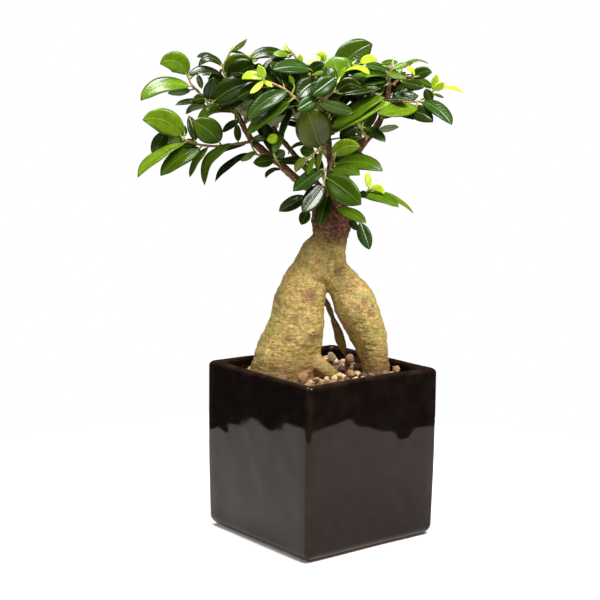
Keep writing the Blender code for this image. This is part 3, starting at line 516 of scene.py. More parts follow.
def young_bark(name, stops, pore):
    """Bark of a limb or twig: colours along a ramp, and pale pores 1 mm across."""
    made, tree, shader = finish_named(name, Roughness=0.58, Specular_IOR_Level=0.35)
    place = object_place(tree)
    mottle = grain(tree, place, 2.4, 4, 0.6)
    skin = ramp(tree, mottle, stops)
    spots = add(tree, "TexVoronoi", Vector=place, Scale=1 / (1.8 * MM))
    pores = between(tree, spots.outputs["Distance"], 0.10, 0.22, 1.0, 0.0)
    tree.links.new(blended(tree, pores, skin, linear(pore)), shader.inputs["Base Color"])
    first = relief(tree, shader, mottle, 0.3)
    relief(tree, shader, pores, 0.12, first)
    return made


ROOT_BARK = swollen_root_bark()
LIMB_BARK = young_bark("limb_bark", [(0.3, "3F2016"), (0.5, "6B3E2A"), (0.7, "8F6044")], "C9AC86")
TWIG_BARK = young_bark("twig_bark", [(0.3, "7A5434"), (0.5, "A37B50"), (0.7, "C29C6C")], "DCC39A")
print("finishes:", ROOT_BARK.name, LIMB_BARK.name, TWIG_BARK.name)

# %% [markdown]
# ## The rootstock and limbs
#
# The model's roots are joined tubes with facets. Sculpting would smooth them, but it can't be
# repeated. A voxel remesh gives the whole joined form one even skin, smoothing blends the joints, as
# wood grows over them, and then noise raises folds, rings and lumps of real heights.
#
# Two limbs of the solid model, the back left and back right ones, start 5 to 6 mm clear of the graft.
# On the tree they grow out of it. So the lower end of every limb's fine piece is drawn across its gap
# and 4 mm into the graft, and the size of each gap is printed. The solids keep their gaps.


# %% Grow bark over the solid wood
INTO_GRAFT = 4 * MM
DRAWN_LENGTH = 24 * MM


def wooden(name, node, finish, voxel_mm, rounds, folds):
    """A fine copy of a node: one even skin, smoothed, with folds = (size mm, height mm, flatten)."""
    made = bpy.data.objects.new(name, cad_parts[node].data.copy())
    bpy.context.scene.collection.objects.link(made)
    weld = made.modifiers.new("weld", "WELD")
    weld.merge_threshold = 0.00001
    remesh = made.modifiers.new("skin", "REMESH")
    remesh.mode = "VOXEL"
    remesh.voxel_size = voxel_mm * MM
    soften = made.modifiers.new("soften", "SMOOTH")
    soften.factor = 0.5
    soften.iterations = rounds
    depsgraph = bpy.context.evaluated_depsgraph_get()
    mesh = bpy.data.meshes.new_from_object(made.evaluated_get(depsgraph))
    made.modifiers.clear()
    made.data = mesh
    mesh.materials.clear()
    mesh.materials.append(finish)
    normals = [vertex.normal.copy() for vertex in mesh.vertices]
    for vertex, normal in zip(mesh.vertices, normals):
        push = 0.0
        for size, height, flatten in folds:
            spot = Vector((vertex.co.x, vertex.co.y, vertex.co.z * flatten)) / (size * MM)
            push += height * MM * noise.noise(spot)
        vertex.co += normal * push
    mesh.shade_smooth()
    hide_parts(node)
    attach(made, "root")
    return made


def join_base(limb, root, reach):
    """Draw a limb's lower end across the gap and a little into the graft that it grew from."""
    points = [vertex.co.copy() for vertex in limb.data.vertices]
    found = [root.find_nearest(point) for point in points]
    first = min(range(len(points)), key=lambda i: found[i][3])
    toward = found[first][0] - points[first]
    pull = toward.normalized() * (toward.length + INTO_GRAFT)
    for vertex, point in zip(limb.data.vertices, points):
        near = max(0.0, 1 - (point - points[first]).length / reach)
        vertex.co = point + pull * near * near * (3 - 2 * near)
    print(limb.name, "gap to the graft:", round(toward.length * 1000, 1), "mm")


rootstock = wooden("swollen_rootstock", "rootstock", ROOT_BARK, 1.0, 14,
                   [(22, 1.6, 1), (9, 0.7, 1.6), (7, 0.35, 4), (2.6, 0.28, 1.5)])
for node in sorted(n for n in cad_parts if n.startswith("limb")):
    limb = wooden("woody_" + node, node, LIMB_BARK, 0.5, 5, [(9, 0.5, 1), (3, 0.35, 1)])
    join_base(limb, solid_tree("rootstock"), DRAWN_LENGTH)
print("rootstock:", len(rootstock.data.polygons), "faces")

# %% [markdown]
# ## Where the leaves stand
#
# The crown is set out on a plane through the trunk, seen from one place, in millimetres: x across,
# z up, and y for depth. The table gives each leaf's base and tip. The model's own rules then slide a
# leaf that would cut through another until it is clear, so the same rules are run here, and each
# shoot lands where its solid is. After them come smaller inner leaves, which only the looks have.

# %% Layout of the crown
TREE_TURN = math.radians(-38.45)
EYE = Vector((-18.3, -1097.6, 346.0))
LEAF_HALF_THICKNESS = 0.6
LEAF_FOLD = 0.16
LEAF_SLENDERNESS = 0.5
BLADE_STEPS = [(0.35, 1.0), (0.75, 0.82)]
PETIOLE_RADIUS = 0.8
PETIOLE_CORNERS = [math.radians(turn) for turn in (77, 197, 317)]
PETIOLE_IN_BLADE = 0.35
SHORT_PETIOLE = 5.0
NODE_STEP = 0.45
CLEARANCE = 0.35
SHOOTS = {
    "shoot_left_low": ([
        (-58, 318, -5), (-70, 316, -9), (-85, 314, -11), (-100, 315, -12), (-112, 319, -13),
        (-126, 327, -13)
    ], [
        (-114, 321, -145, 334, 20, 6, -14, -24, "F"), (-127, 325, -137, 306, 12, 0, -12, -5, "D"),
        (-122, 325, -119, 306, 15, 0, -10, -2, "U"), (-112, 316, -150, 289, 9, 4, -14, -30, "F"),
        (-99, 312, -131, 290, 14, 3, -13, -24, "M"), (-93, 313, -108, 289, 6, 2, -11, -14, "M"),
        (-84, 312, -98, 301, 5, -1, -8, 2, "U"), (-72, 316, -96, 283, 8, 8, -10, -16, "M"),
        (-64, 315, -97, 291, 3, 6, -6, -6, "D"), (-104, 318, -108, 338, 9, 1, -10, -3, "D"),
        (-84, 317, -105, 333, 20, 2, -13, -24, "M"), (-112, 321, -113, 331, 6, 0, -9, -4, "F"),
        (-101, 315, -116, 312, 8, 2, -11, -15, "M")
    ]),
    "shoot_left_under": ([
        (-48, 309, -6), (-51, 307, -9), (-55, 308, -11)
    ], [
        (-58, 308, -88, 286, 6, 4, -10, -12, "D"), (-55, 309, -67, 303, 6, 0, -12, -20, "U"),
        (-58, 319, -46, 320, 6, 1, -9, -14, "D")
    ]),
    "shoot_left_elbow": ([
        (-36, 301, -5), (-38, 303, -9), (-39, 305, -11)
    ], [
        (-40, 304, -57, 301, 10, 0, -12, -20, "D"), (-37, 303, -11, 303, 7, 0, -10, -12, "D"),
        (-38, 306, -32, 311, 8, 0, -13, -22, "D"), (-35, 296, -47, 289, 4, 3, -6, -12, "D")
    ]),
    "shoot_left_mid": ([
        (-70, 340, -3), (-74, 342, -7), (-80, 344, -9)
    ], [
        (-72, 341, -102, 330, 8, 8, -8, -14, "M"), (-68, 334, -82, 325, 6, 1, -6, -2, "D"),
        (-69, 318, -70, 332, 6, 0, -7, -4, "M"), (-84, 344, -64, 350, 14, 3, -12, -22, "D")
    ]),
    "shoot_left_end": ([
        (-95, 351.4, 2), (-101, 357, 2), (-106, 362, 1), (-109, 369, 0)
    ], [
        (-110, 370, -131, 378, 17, 6, -1, -12, "F"), (-108, 361, -147, 350, 13, 6, 0, -16, "F"),
        (-107, 358, -125, 355, 7, 0, 4, 8, "U"), (-109, 369, -81, 369, 6, 5, 2, 8, "D"),
        (-101, 370, -98, 359, 5, 0, 0, -2, "D"), (-96, 348, -119, 346, 5, 2, 5, 0, "D"),
        (-94, 345, -111, 339, 6, 3, 7, 4, "U"), (-93, 352, -105, 350, 9, 0, 0, 4, "D"),
        (-92, 350, -88, 367, 14, 0, -6, -10, "D"), (-88, 349, -58, 364, 20, 2, -12, -24, "D")
    ]),
    "shoot_left_top": ([
        (-80, 348, 3), (-79, 358, 5), (-79, 368, 5), (-81, 376, 5), (-76, 387, 5)
    ], [
        (-83, 379, -102, 384, 5, 3, 10, 18, "U"), (-82, 377, -101, 377, 6, 6, 6, 1, "D"),
        (-75, 388, -62.5, 398.5, 4, -1, 5, 5, "M"), (-76, 388, -57, 379, 4, 3, 7, 3, "U"),
        (-79, 371, -58, 381, 16, 3, 0, -10, "M"), (-76, 364, -56, 378, 20, 2, -4, -15, "D"),
        (-80, 366, -92, 362, 12, 2, 8, 16, "D"), (-60, 381, -54, 388, 8, 0, 5, 5, "Y")
    ]),
    "shoot_front_left": ([
        (-2, 349, -19), (-12, 347, -30), (-21, 351, -38), (-32, 359, -42), (-40, 363, -43),
        (-49, 366, -43)
    ], [
        (-50, 367, -66.5, 367, 7, 3, -44, -47, "Y"), (-49, 367, -53, 378, 7, 0, -43, -46, "Y"),
        (-50, 366, -60, 356, 5, -1, -44, -50, "Y"), (-49, 366, -42, 361, 4, 0, -43, -46, "Y"),
        (-42, 361, -70, 352, 14, 2, -38, -44, "D"), (-30, 358, -62, 335, 14, 3, -44, -54, "G"),
        (-28, 350, -63, 323, 11, 2, -43, -50, "M"), (-25, 363, -29, 370, 4, 0, -39, -42, "F")
    ]),
    "shoot_top_left": ([
        (-2, 350, -17), (-10, 364, -15), (-18, 376, -15), (-25, 386, -15), (-28, 389.5, -15)
    ], [
        (-31, 384, -60, 382, 9, 5, -8, -16, "D"), (-30, 380, -50, 374, 11, 2, -16, -26, "D"),
        (-30, 386, -42, 386, 6, 1, -17, -24, "F"), (-28, 389, -34, 393, 3, 0, -15, -16, "Y"),
        (-25, 386, -36, 390, 2, 0, -13, -10, "D"), (-21, 378, -20, 387, 5, 0, -16, -18, "Y"),
        (-14, 371, -28, 362, 14, 2, -18, -30, "D"), (-12, 368, -38, 366, 14, 2, -10, 4, "D")
    ]),
    "shoot_front_top": ([
        (-3, 353, -20), (-4, 362, -24), (-9, 371, -26), (-4, 380, -22)
    ], [
        (-12, 375, -42, 375, 12, 2, -28, -42, "G"), (-12, 372, -1, 379, 9, 2, -26, -34, "G"),
        (-1, 381, -8, 387, 5, 3, -22, -26, "Y"), (-4, 385, -15, 379, 4, 0, -23, -30, "Y"),
        (-10, 371, -2, 373, 4, 0, -29, -34, "F"), (-6, 366, -22, 352, 16, 2, -28, -38, "D")
    ]),
    "shoot_centre_top": ([
        (6.5, 365.5, -19), (11, 368, -20), (14, 374, -18), (20, 379, -14)
    ], [
        (9, 373, 37, 395.5, 23, 3, -14, -4, "M"), (10.5, 367, 5, 385.5, 27, 0, -26, -12, "F"),
        (14, 372, 35, 371.5, 4, 5, -22, -34, "Y"), (12, 369, 15, 377, 3, 0, -24, -26, "Y"),
        (27, 380, 41, 383, 7, 2, -12, -12, "Y"), (16, 372, 38, 364, 12, 3, -12, -2, "D")
    ]),
    "shoot_centre_front": ([
        (1, 338, -22), (2, 346, -29), (0, 352, -35), (5, 357, -36), (8, 362, -34)
    ], [
        (8, 369, -10, 355, 14, 0, -37, -48, "G"), (-6, 353, -22, 343, 11, 0, -41, -52, "G"),
        (-5, 350, 23, 342, 11, -1, -40, -50, "D"), (9, 358, 28, 361, 11, 4, -36, -46, "D"),
        (12, 356, 44, 361, 8, 1, -33, -38, "D")
    ]),
    "shoot_centre_left": ([
        (1, 338, -18), (-13, 343, -16), (-26, 340, -16), (-33, 329, -18)
    ], [
        (-34, 327, -41, 309, 8, 0, -19, -26, "F"), (-37, 322, -46, 319, 8, 0, -19, -24, "Y"),
        (-27, 345, -37, 318, 6, 0, -20, -26, "D"), (-30, 341, -55, 338, 12, 3, -16, -6, "D"),
        (-24, 344, -46, 352, 16, 2, -12, 2, "D")
    ]),
    "shoot_centre_leader": ([
        (2, 318, -21), (-1, 314, -27), (-6, 311, -31), (-12, 306, -33)
    ], [
        (-3, 314, -15, 345, 29, 0, -31, -44, "O"), (-3, 312, -6, 296, 5, 0, -36, -44, "O"),
        (-13, 305, -23, 294, 7, 2, -34, -38, "O"), (-9, 306, -14, 292, 7, 0, -34, -41, "M"),
        (-8, 310, -20, 312, 10, 0, -31, -24, "M"), (-11, 316, -30, 308, 3, 4, -26, -24, "M")
    ]),
    "shoot_centre_right": ([
        (3, 327, -22), (3, 328.5, -26), (1, 337, -28)
    ], [
        (5, 329, 46, 355, 13, 2, -28, -42, "F"), (7, 326, 52, 351, 10, 2, -30, -46, "F")
    ]),
    "shoot_centre_bright": ([
        (4, 302, -19), (7, 303, -25), (8, 306, -33)
    ], [
        (6, 308, 28, 314.5, 13, 3, -36, -48, "F"), (6, 306, 35, 305, 14, 0, -23, -28, "D"),
        (9, 301, 46.5, 296.5, 9, 4, -26, -38, "M"), (5, 296, 28, 293, 11, 2, -32, -50, "M"),
        (8, 312, 28, 321, 12, 0, -24, -16, "D")
    ]),
    "shoot_low_front": ([
        (3, 281, -12), (1, 285, -22), (-1, 291, -32), (0, 294, -38)
    ], [
        (1, 290, 29, 269, 21, 1, -40, -56, "M"), (-2, 297, -25, 279, 14, 0, -40, -52, "G"),
        (-1, 284, -17, 262, 15, 0, -34, -50, "D"), (3, 276, -4, 251, 12, 0, -28, -42, "D")
    ]),
    "shoot_low_left": ([
        (-7, 276, -6), (-10, 274, -14), (-13, 270, -22), (-12, 266, -28)
    ], [
        (-15, 275, -36, 263, 11, 0, -24, -34, "D"), (-13, 264, -18, 252, 9, 0, -30, -36, "D")
    ]),
    "shoot_low_right": ([
        (12, 268, -11), (15, 266, -17), (21, 262, -22), (28, 257, -24)
    ], [
        (10, 266, 34, 254, 10, 1, -24, -38, "M"), (21, 257, 27, 248, 6, 0, -23, -26, "D"),
        (29, 254, 37, 233, 11, 0, -24, -30, "G")
    ]),
    "shoot_right_low": ([
        (14, 272, -6), (22, 274, -10), (31, 278, -12), (36, 280, -12)
    ], [
        (30, 276, 60, 267, 9, 3, -13, -26, "F"), (39, 279, 73, 262, 4, 3, -12, -16, "F"),
        (37, 281, 48, 277, 6, 3, -14, -18, "Y"), (36, 282, 34, 295, 5, 0, -12, -14, "Y"),
        (28, 277, 35, 277, 6, 0, -16, -22, "G")
    ]),
    "shoot_right_mid": ([
        (33, 321, -1), (32, 325, -8), (28, 330, -12)
    ], [
        (31, 330, 48, 319, 9, 1, -12, -24, "D"), (24, 330, 12, 321, 12, 0, -13, -18, "D"),
        (41, 328, 58, 331, 6, 0, 7, 14, "U"), (27, 334, 12, 340, 12, 0, -14, -18, "D")
    ]),
    "shoot_right_fan": ([
        (46, 345, 0), (56, 350, -6), (66, 350.5, -9), (75, 351, -9)
    ], [
        (73, 347, 42, 341, 13, 0, -14, -30, "F"), (45, 337, 71, 337, 5, 4, -8, -14, "D"),
        (65, 344, 86, 335, 13, 2, -12, -22, "D"), (76, 351, 101, 333, 11, 3, -10, -20, "G"),
        (84, 351, 79, 361, 8, 0, -9, -10, "D"), (55, 353, 74, 356, 9, 0, -8, -2, "G"),
        (48, 352, 68, 353, 7, 0, -12, -18, "D")
    ]),
    "shoot_right_tip": ([
        (76, 351.5, -6), (81, 355, -5), (85, 359, -4)
    ], [
        (85, 360, 88, 372.5, 6, 0, -4, -6, "Y"), (86, 360, 94, 366, 6, 0, -5, -8, "Y"),
        (88, 361, 109, 359, 3, 2, -4, -8, "Y"), (85, 357, 94, 354.5, 2.5, 0, -3, -2, "F")
    ]),
    "shoot_right_crown": ([
        (51, 363, 0), (50, 369, -8), (51, 374, -12), (52, 378, -12)
    ], [
        (50, 373, 31, 378, 7, 2, -16, -28, "G"), (49, 371, 18, 368, 5, 2, -14, -30, "F"),
        (47, 369, 31, 364, 9, 0, -14, -32, "G"), (48, 374, 64, 369, 6, -1, -16, -26, "M"),
        (53, 376, 64, 381, 5, 0, -11, -8, "F"), (43, 380, 57, 382, 5, 0, -4, -2, "M"),
        (47, 363, 37, 360, 9, 0, -8, -12, "D")
    ]),
    "shoot_right_upper": ([
        (51, 360, 4), (56, 366, 2), (62, 370, -2), (68, 370, -6)
    ], [
        (68, 369, 84, 374, 10, 2, -6, -14, "M"), (70, 371, 63, 377, 4, 2, -8, -12, "Y"),
        (62, 379, 81, 381, 2.5, 3, 12, 20, "F"), (58, 377, 69, 382, 4, 0, 1, 4, "D"),
        (60, 366, 78, 362, 9, 0, -8, -16, "D"), (74, 368, 85, 362, 6, 0, -3, 2, "M")
    ]),
}
BACK_SHOOTS = {
    "shoot_back_left_low": ([(-38, 324, 37), (-46, 334, 50), (-58, 346, 62)], 9),
    "shoot_back_left_mid": ([(-52, 345, 42), (-64, 354, 54), (-78, 362, 62)], 11),
    "shoot_back_left_top": ([(-62, 361, 42), (-60, 364, 50), (-56, 368, 60)], 6),
    "shoot_back_low": ([(4, 310, 30), (-3, 318, 44), (-8, 330, 56)], 9),
    "shoot_back_mid": ([(-1, 340, 41), (-14, 350, 56), (-24, 358, 68)], 11),
    "shoot_back_top": ([(-5, 358.5, 42), (-6, 362, 52), (-4, 366, 64)], 7),
    "shoot_back_right_low": ([(30, 315, 32), (28, 326, 46), (24, 340, 58)], 9),
    "shoot_back_right_mid": ([(44, 337, 35), (42, 350, 52), (38, 360, 64)], 11),
    "shoot_back_right_top": ([(58, 360.5, 37), (52, 363, 46), (44, 366, 56)], 6),
    "shoot_inner_left": ([(-64, 328, -3), (-62, 342, 8), (-57, 356, 16)], 11),
    "shoot_inner_centre": ([(-2, 349, -18), (-12, 357, -6), (-24, 366, 4)], 9),
    "shoot_inner_right": ([(47, 347, 2), (40, 356, 10), (28, 364, 16)], 11),
}
HABIT_TRIES = 6
SHORTEST_STEP = 0.8
TWIG_SIDES = 6
BACK_TWIG_RADIUS = (1.4, 0.9)
TWIG_RADIUS = (1.2, 0.8)
HABIT_LEAF_LENGTH = (30, 40)
HABIT_PETIOLE = (3.5, 6)
HABIT_ARCH = 3
GOLDEN_ANGLE = math.radians(137.5)
ROOM_X = [-100, -80, -60, -44, -36, -18, -14, 26, 30, 45, 60, 72, 84]
ROOM_LOW = [372, 350, 346, 340, 338, 330, 286, 286, 342, 346, 358, 364, 372]
ROOM_HIGH = [372, 378, 380, 381, 380, 380, 380, 380, 380, 380, 376, 372, 372]
WINDOWS = [(-36, -16, 306, 334), (17, 36, 326, 341), (44, 56, 353, 367)]
print("shoots:", len(SHOOTS) + len(BACK_SHOOTS))


# %% Rules of the crown
def to_world(point):
    """A point of the tree's frame, in mm, as a point of the pot's frame, in metres."""
    return Matrix.Rotation(TREE_TURN, 3, "Z") @ (Vector(point) * MM)


def set_out(x, z, y):
    """A place on the crown's middle plane, moved along the line of sight to the depth y."""
    nearer = 1 - y / EYE.y
    return Vector((EYE.x + (x - EYE.x) * nearer, y, EYE.z + (z - EYE.z) * nearer))


def tube_tree(points, radii, sides):
    """The triangles of a plain tube through points, for overlap tests."""
    curve = bpy.data.curves.new("guide", "CURVE")
    curve.dimensions = "3D"
    curve.bevel_depth = 1.0
    curve.bevel_resolution = (sides - 4) // 2
    curve.use_fill_caps = True
    spline = curve.splines.new("POLY")
    spline.points.add(len(points) - 1)
    for place, point, radius in zip(spline.points, points, radii):
        place.co = (*to_world(point), 1.0)
        place.radius = radius * MM
    guide = bpy.data.objects.new("guide", curve)
    mesh = bpy.data.meshes.new_from_object(guide)
    bpy.data.objects.remove(guide)
    bpy.data.curves.remove(curve)
    mesh.calc_loop_triangles()
    corners = [vertex.co.copy() for vertex in mesh.vertices]
    found = BVHTree.FromPolygons(corners, [tuple(t.vertices) for t in mesh.loop_triangles])
    bpy.data.meshes.remove(mesh)
    return found


def leaf_shape(row):
    """Where one leaf of the tables stands in the tree's frame."""
    x0, z0, x1, z1, width, arch, y0, y1, age = row
    base = set_out(x0, z0, y0)
    tip = set_out(x1, z1, y1)
    middle = (base + tip) / 2
    sight = (middle - EYE).normalized()
    across = (tip - base).cross(sight).normalized()
    if across.z < 0:
        across.negate()
    length = (tip - base).length
    blade = max(width, LEAF_SLENDERNESS * length)
    lean = math.acos(min(1.0, width / blade))
    facing = across * math.sin(lean) - sight * math.cos(lean) * (-1 if age == "U" else 1)
    return {"base": base, "tip": tip, "rise": across * arch, "width": blade, "facing": facing,
            "habit": False, "age": age}


def habit_leaves(name, twig, count):
    """Leaves to try around a twig by the golden angle: out from it, a little up, drooping at the tip."""
    rng = random.Random(name)
    turn = rng.uniform(0, 2 * math.pi)
    leaves = []
    for number in range(count * HABIT_TRIES):
        along = 0.25 + 0.75 * ((number + 0.5) / count % 1)
        start = point_along(twig, along)
        ahead = (point_along(twig, min(1, along + 0.1)) - point_along(twig, along - 0.1)).normalized()
        side = ahead.orthogonal().normalized()
        other = ahead.cross(side)
        turn += GOLDEN_ANGLE
        out = side * math.cos(turn) + other * math.sin(turn)
        way = (out + ahead * (1.2 * along - 0.2) + Vector((0, 0, 0.25))).normalized()
        length = rng.uniform(*HABIT_LEAF_LENGTH)
        base = start + way * rng.uniform(*HABIT_PETIOLE)
        tip = base + way * length
        across = Vector((0, 0, 1)) - way * way.z
        facing = (across.normalized() + out * 0.25).normalized()
        leaves.append({
            "base": base, "tip": tip, "rise": facing * HABIT_ARCH, "width": length * LEAF_SLENDERNESS,
            "facing": facing, "habit": True,
        })
    return leaves


def run_lengths(points):
    return [(b - a).length for a, b in zip(points, points[1:])]


def point_along(points, share):
    """The point at a share of a polyline's length."""
    lengths = run_lengths(points)
    left = max(0.0, min(1.0, share)) * sum(lengths)
    for (a, b), length in zip(zip(points, points[1:]), lengths):
        if left <= length:
            return a.lerp(b, left / length)
        left -= length
    return points[-1].copy()


def petiole_root(points, place, number):
    """Where a leaf's petiole grows out of its twig: near the leaf, a little below the one before."""
    whole = sum(run_lengths(points))
    best_gap, best_length, gone = None, 0.0, 0.0
    for a, b in zip(points, points[1:]):
        run = b - a
        share = max(0.0, min(1.0, (place - a).dot(run) / run.length_squared))
        gap = (a + run * share - place).length
        if best_gap is None or gap < best_gap:
            best_gap, best_length = gap, gone + run.length * share
        gone += run.length
    below = NODE_STEP * (1 + number % 4) + 0.05 * number
    return point_along(points, max(0.7, best_length - below) / whole)


def ring(centre, side, up, half, thick, lift=0.0):
    """Four corners of a flat diamond whose side corners are lifted."""
    rise = up * lift
    right = centre + side * half + rise
    left = centre - side * half + rise
    return [right, centre + up * thick, left, centre - up * thick]


def square_to(way, hint):
    """The unit vectors across and above a direction, with above nearest to a hint."""
    up = (hint - way * hint.dot(way)).normalized()
    return way.cross(up), up


def skin(rings, foot=None, tip=None):
    """The triangles of a closed body lofted through equal rings, with flat or pointed ends."""
    points = [point for corners in rings for point in corners]
    count = len(rings[0])
    last = (len(rings) - 1) * count
    faces = []
    for start in range(0, last, count):
        for corner in range(count):
            a = start + corner
            b = start + (corner + 1) % count
            faces.append((a, a + count, b + count))
            faces.append((a, b + count, b))
    for start, end in ((0, foot), (last, tip)):
        if end is None:
            faces.extend([(start, start + corner, start + corner + 1) for corner in range(1, count - 1)])
        else:
            points.append(end)
            peak = len(points) - 1
            corners = range(count)
            faces.extend([(start + corner, peak, start + (corner + 1) % count) for corner in corners])
    return points, faces


def bend_of(leaf):
    """The point that a leaf's arched midrib bends towards."""
    return (leaf["base"] + leaf["tip"]) / 2 + leaf["rise"] * 2


def on_curve(start, bend, end, share):
    """The place at a share of a curve's run that bends towards a point."""
    return start * (1 - share) ** 2 + bend * 2 * share * (1 - share) + end * share ** 2


def midrib_at(leaf, share):
    """The place at a share of the arched midrib's run from base to tip."""
    return on_curve(leaf["base"], bend_of(leaf), leaf["tip"], share)


def frame_at(leaf, share):
    """The unit vectors across and above the midrib at a share of its run."""
    base, tip, bend = leaf["base"], leaf["tip"], bend_of(leaf)
    ahead = ((bend - base) * (1 - share) + (tip - bend) * share).normalized()
    return square_to(ahead, leaf["facing"])


def blade_skin(leaf, root, extra=0.0):
    """A leaf's blade, folded a little along its arched midrib, pointed at both ends."""
    rings = []
    for share, broad in BLADE_STEPS:
        centre = midrib_at(leaf, share)
        side, up = frame_at(leaf, share)
        half = broad * leaf["width"] / 2 + extra
        lift = LEAF_FOLD * broad * leaf["width"] / 2
        rings.append(ring(centre, side, up, half, LEAF_HALF_THICKNESS + extra, lift))
    foot = root if sessile(leaf, root) else leaf["base"]
    return skin(rings, foot, leaf["tip"] + (leaf["tip"] - bend_of(leaf)).normalized() * extra)


def sessile(leaf, root):
    """Whether a leaf sits so close to its twig that its blade starts inside the twig."""
    return (leaf["base"] - root).length < SHORT_PETIOLE


def petiole_skin(leaf, root, extra=0.0):
    """A leaf's stalk, from inside its twig to inside its blade."""
    end = leaf["base"].lerp(midrib_at(leaf, BLADE_STEPS[0][0]), PETIOLE_IN_BLADE)
    side, up = square_to((end - root).normalized(), leaf["facing"])
    size = PETIOLE_RADIUS + extra
    corners = [side * math.cos(turn) + up * math.sin(turn) for turn in PETIOLE_CORNERS]
    return skin([[place + corner * size for corner in corners] for place in (root, end)])


def leaf_skins(leaf, root, extra=0.0):
    """The closed bodies that make a leaf: its petiole, where it has one, and its blade."""
    blade = blade_skin(leaf, root, extra)
    return [blade] if sessile(leaf, root) else [petiole_skin(leaf, root, extra), blade]


def skin_bvh(*skins):
    points, faces = [], []
    for some_points, some_faces in skins:
        faces.extend([tuple(index + len(points) for index in face) for face in some_faces])
        points.extend([to_world(point) for point in some_points])
    return BVHTree.FromPolygons(points, faces)


def nudges(few):
    """Small changes to a leaf's place, the smallest first: depth of base and tip, lift, and twist."""
    yield 0, 0, 0, 0
    if few:
        for lift in (-4, 4, -8, 8):
            yield 0, 0, lift, 0
        return
    for size in (3, 6, 9, 13, 17, 22):
        for base, tip in ((0, -1), (0, 1), (-1, -1), (1, 1), (-0.5, -1), (0.5, 1), (0.5, -1), (-0.5, 1)):
            for twist in (0, 0.25, -0.25):
                yield base * size, tip * size, 0, twist
        for lift in (-0.25, 0.25, -0.5, 0.5):
            for twist in (0, 0.4, -0.4):
                yield 0, -size, lift * size, twist
                yield 0, size, lift * size, twist


def moved(leaf, change):
    """The leaf with its base and tip slid along y, its tip lifted and its blade twisted."""
    deep_base, deep_tip, lift, twist = change
    base = leaf["base"] + Vector((0, deep_base, 0))
    tip = leaf["tip"] + Vector((0, deep_tip, lift))
    way = (tip - base).normalized()
    facing = Matrix.Rotation(twist, 3, way) @ leaf["facing"]
    return {**leaf, "base": base, "tip": tip, "facing": facing}


def in_room(leaf):
    """Whether a leaf of the habit keeps inside the crown and out of its open windows."""
    bend = bend_of(leaf)
    side = (leaf["tip"] - leaf["base"]).cross(leaf["facing"]).normalized() * (leaf["width"] / 2)
    for point in (leaf["tip"], bend + side, bend - side, (bend + leaf["tip"]) / 2):
        nearer = 1 - point.y / EYE.y
        x = EYE.x + (point.x - EYE.x) / nearer
        z = EYE.z + (point.z - EYE.z) / nearer
        low, high = np.interp(x, ROOM_X, ROOM_LOW), np.interp(x, ROOM_X, ROOM_HIGH)
        if not low <= z <= high:
            return False
        if any(x0 < x < x1 and z0 < z < z1 for x0, x1, z0, z1 in WINDOWS):
            return False
    return True


def clear_path(name, points, radii, solids):
    """A twig's path, started as far along its points as it takes to clear what it grows from."""
    whole = sum(run_lengths(points))
    skip = 0.0
    while True:
        path = [point_along(points, skip / whole)]
        sizes = [radii[0]]
        gone = 0.0
        for a, b, radius in zip(points, points[1:], radii[1:]):
            gone += (b - a).length
            if gone > skip + SHORTEST_STEP:
                path.append(b)
                sizes.append(radius)
        test = tube_tree(path, [size + CLEARANCE for size in sizes], TWIG_SIDES)
        if not any(test.overlap(solid) for solid in solids):
            return path, sizes
        skip += SHORTEST_STEP / 2
        if len(path) < 3 and skip > 0.7 * whole:
            raise ValueError(f"{name} can't leave what it grows from")


def place_leaf(name, leaf, shoots, solids, placed, number):
    """The first small change that leaves the leaf clear of every other piece, or None."""
    for change in nudges(leaf["habit"]):
        trial = moved(leaf, change)
        if leaf["habit"] and not in_room(trial):
            continue
        root = petiole_root(shoots[name]["path"], trial["base"], number)
        whole = skin_bvh(*leaf_skins(trial, root, CLEARANCE))
        if any(whole.overlap(solid) for solid in solids):
            continue
        if any(whole.overlap(shoot["tree"]) for owner, shoot in shoots.items() if owner != name):
            continue
        if any(whole.overlap(skin) for owner, skin, part in placed if owner != name):
            continue
        blade = skin_bvh(blade_skin(trial, root, CLEARANCE))
        if any(blade.overlap(part) for owner, skin, part in placed if owner == name):
            continue
        placed.append((name, skin_bvh(*leaf_skins(trial, root)), skin_bvh(blade_skin(trial, root))))
        return trial, root
    return None


def place_leaves(shoots, solids):
    """Find each leaf a place where it clears every other piece. Returns each shoot's leaves."""
    placed = []
    result = {name: [] for name in shoots}
    for name, shoot in shoots.items():
        for leaf in shoot["leaves"]:
            found = place_leaf(name, leaf, shoots, solids, placed, len(result[name]))
            if found:
                result[name].append(found)
            if len(result[name]) == shoot["count"]:
                break
    return result

# %% Set out every shoot
INNER_LEAVES = 14
BEHIND = 6
SHADE_LOW = [350, 330, 322, 318, 316]


def add_inner_leaves(shoots, found, solids):
    """Smaller old leaves in the shade of the crown, too many to carry in the solid model."""
    placed = []
    ROOM_LOW[1:6] = SHADE_LOW
    for name, leaves in found.items():
        for leaf, root in leaves:
            placed.append((name, skin_bvh(*leaf_skins(leaf, root)), skin_bvh(blade_skin(leaf, root))))
    for name, shoot in shoots.items():
        count = len(found[name]) + INNER_LEAVES
        for leaf in habit_leaves(name + " inner", shoot["path"], INNER_LEAVES * 3):
            if name in SHOOTS and leaf["tip"].y < leaf["base"].y + BEHIND:
                continue
            place = place_leaf(name, leaf, shoots, solids, placed, len(found[name]))
            if place:
                found[name].append(place)
            if len(found[name]) == count:
                break
    return found


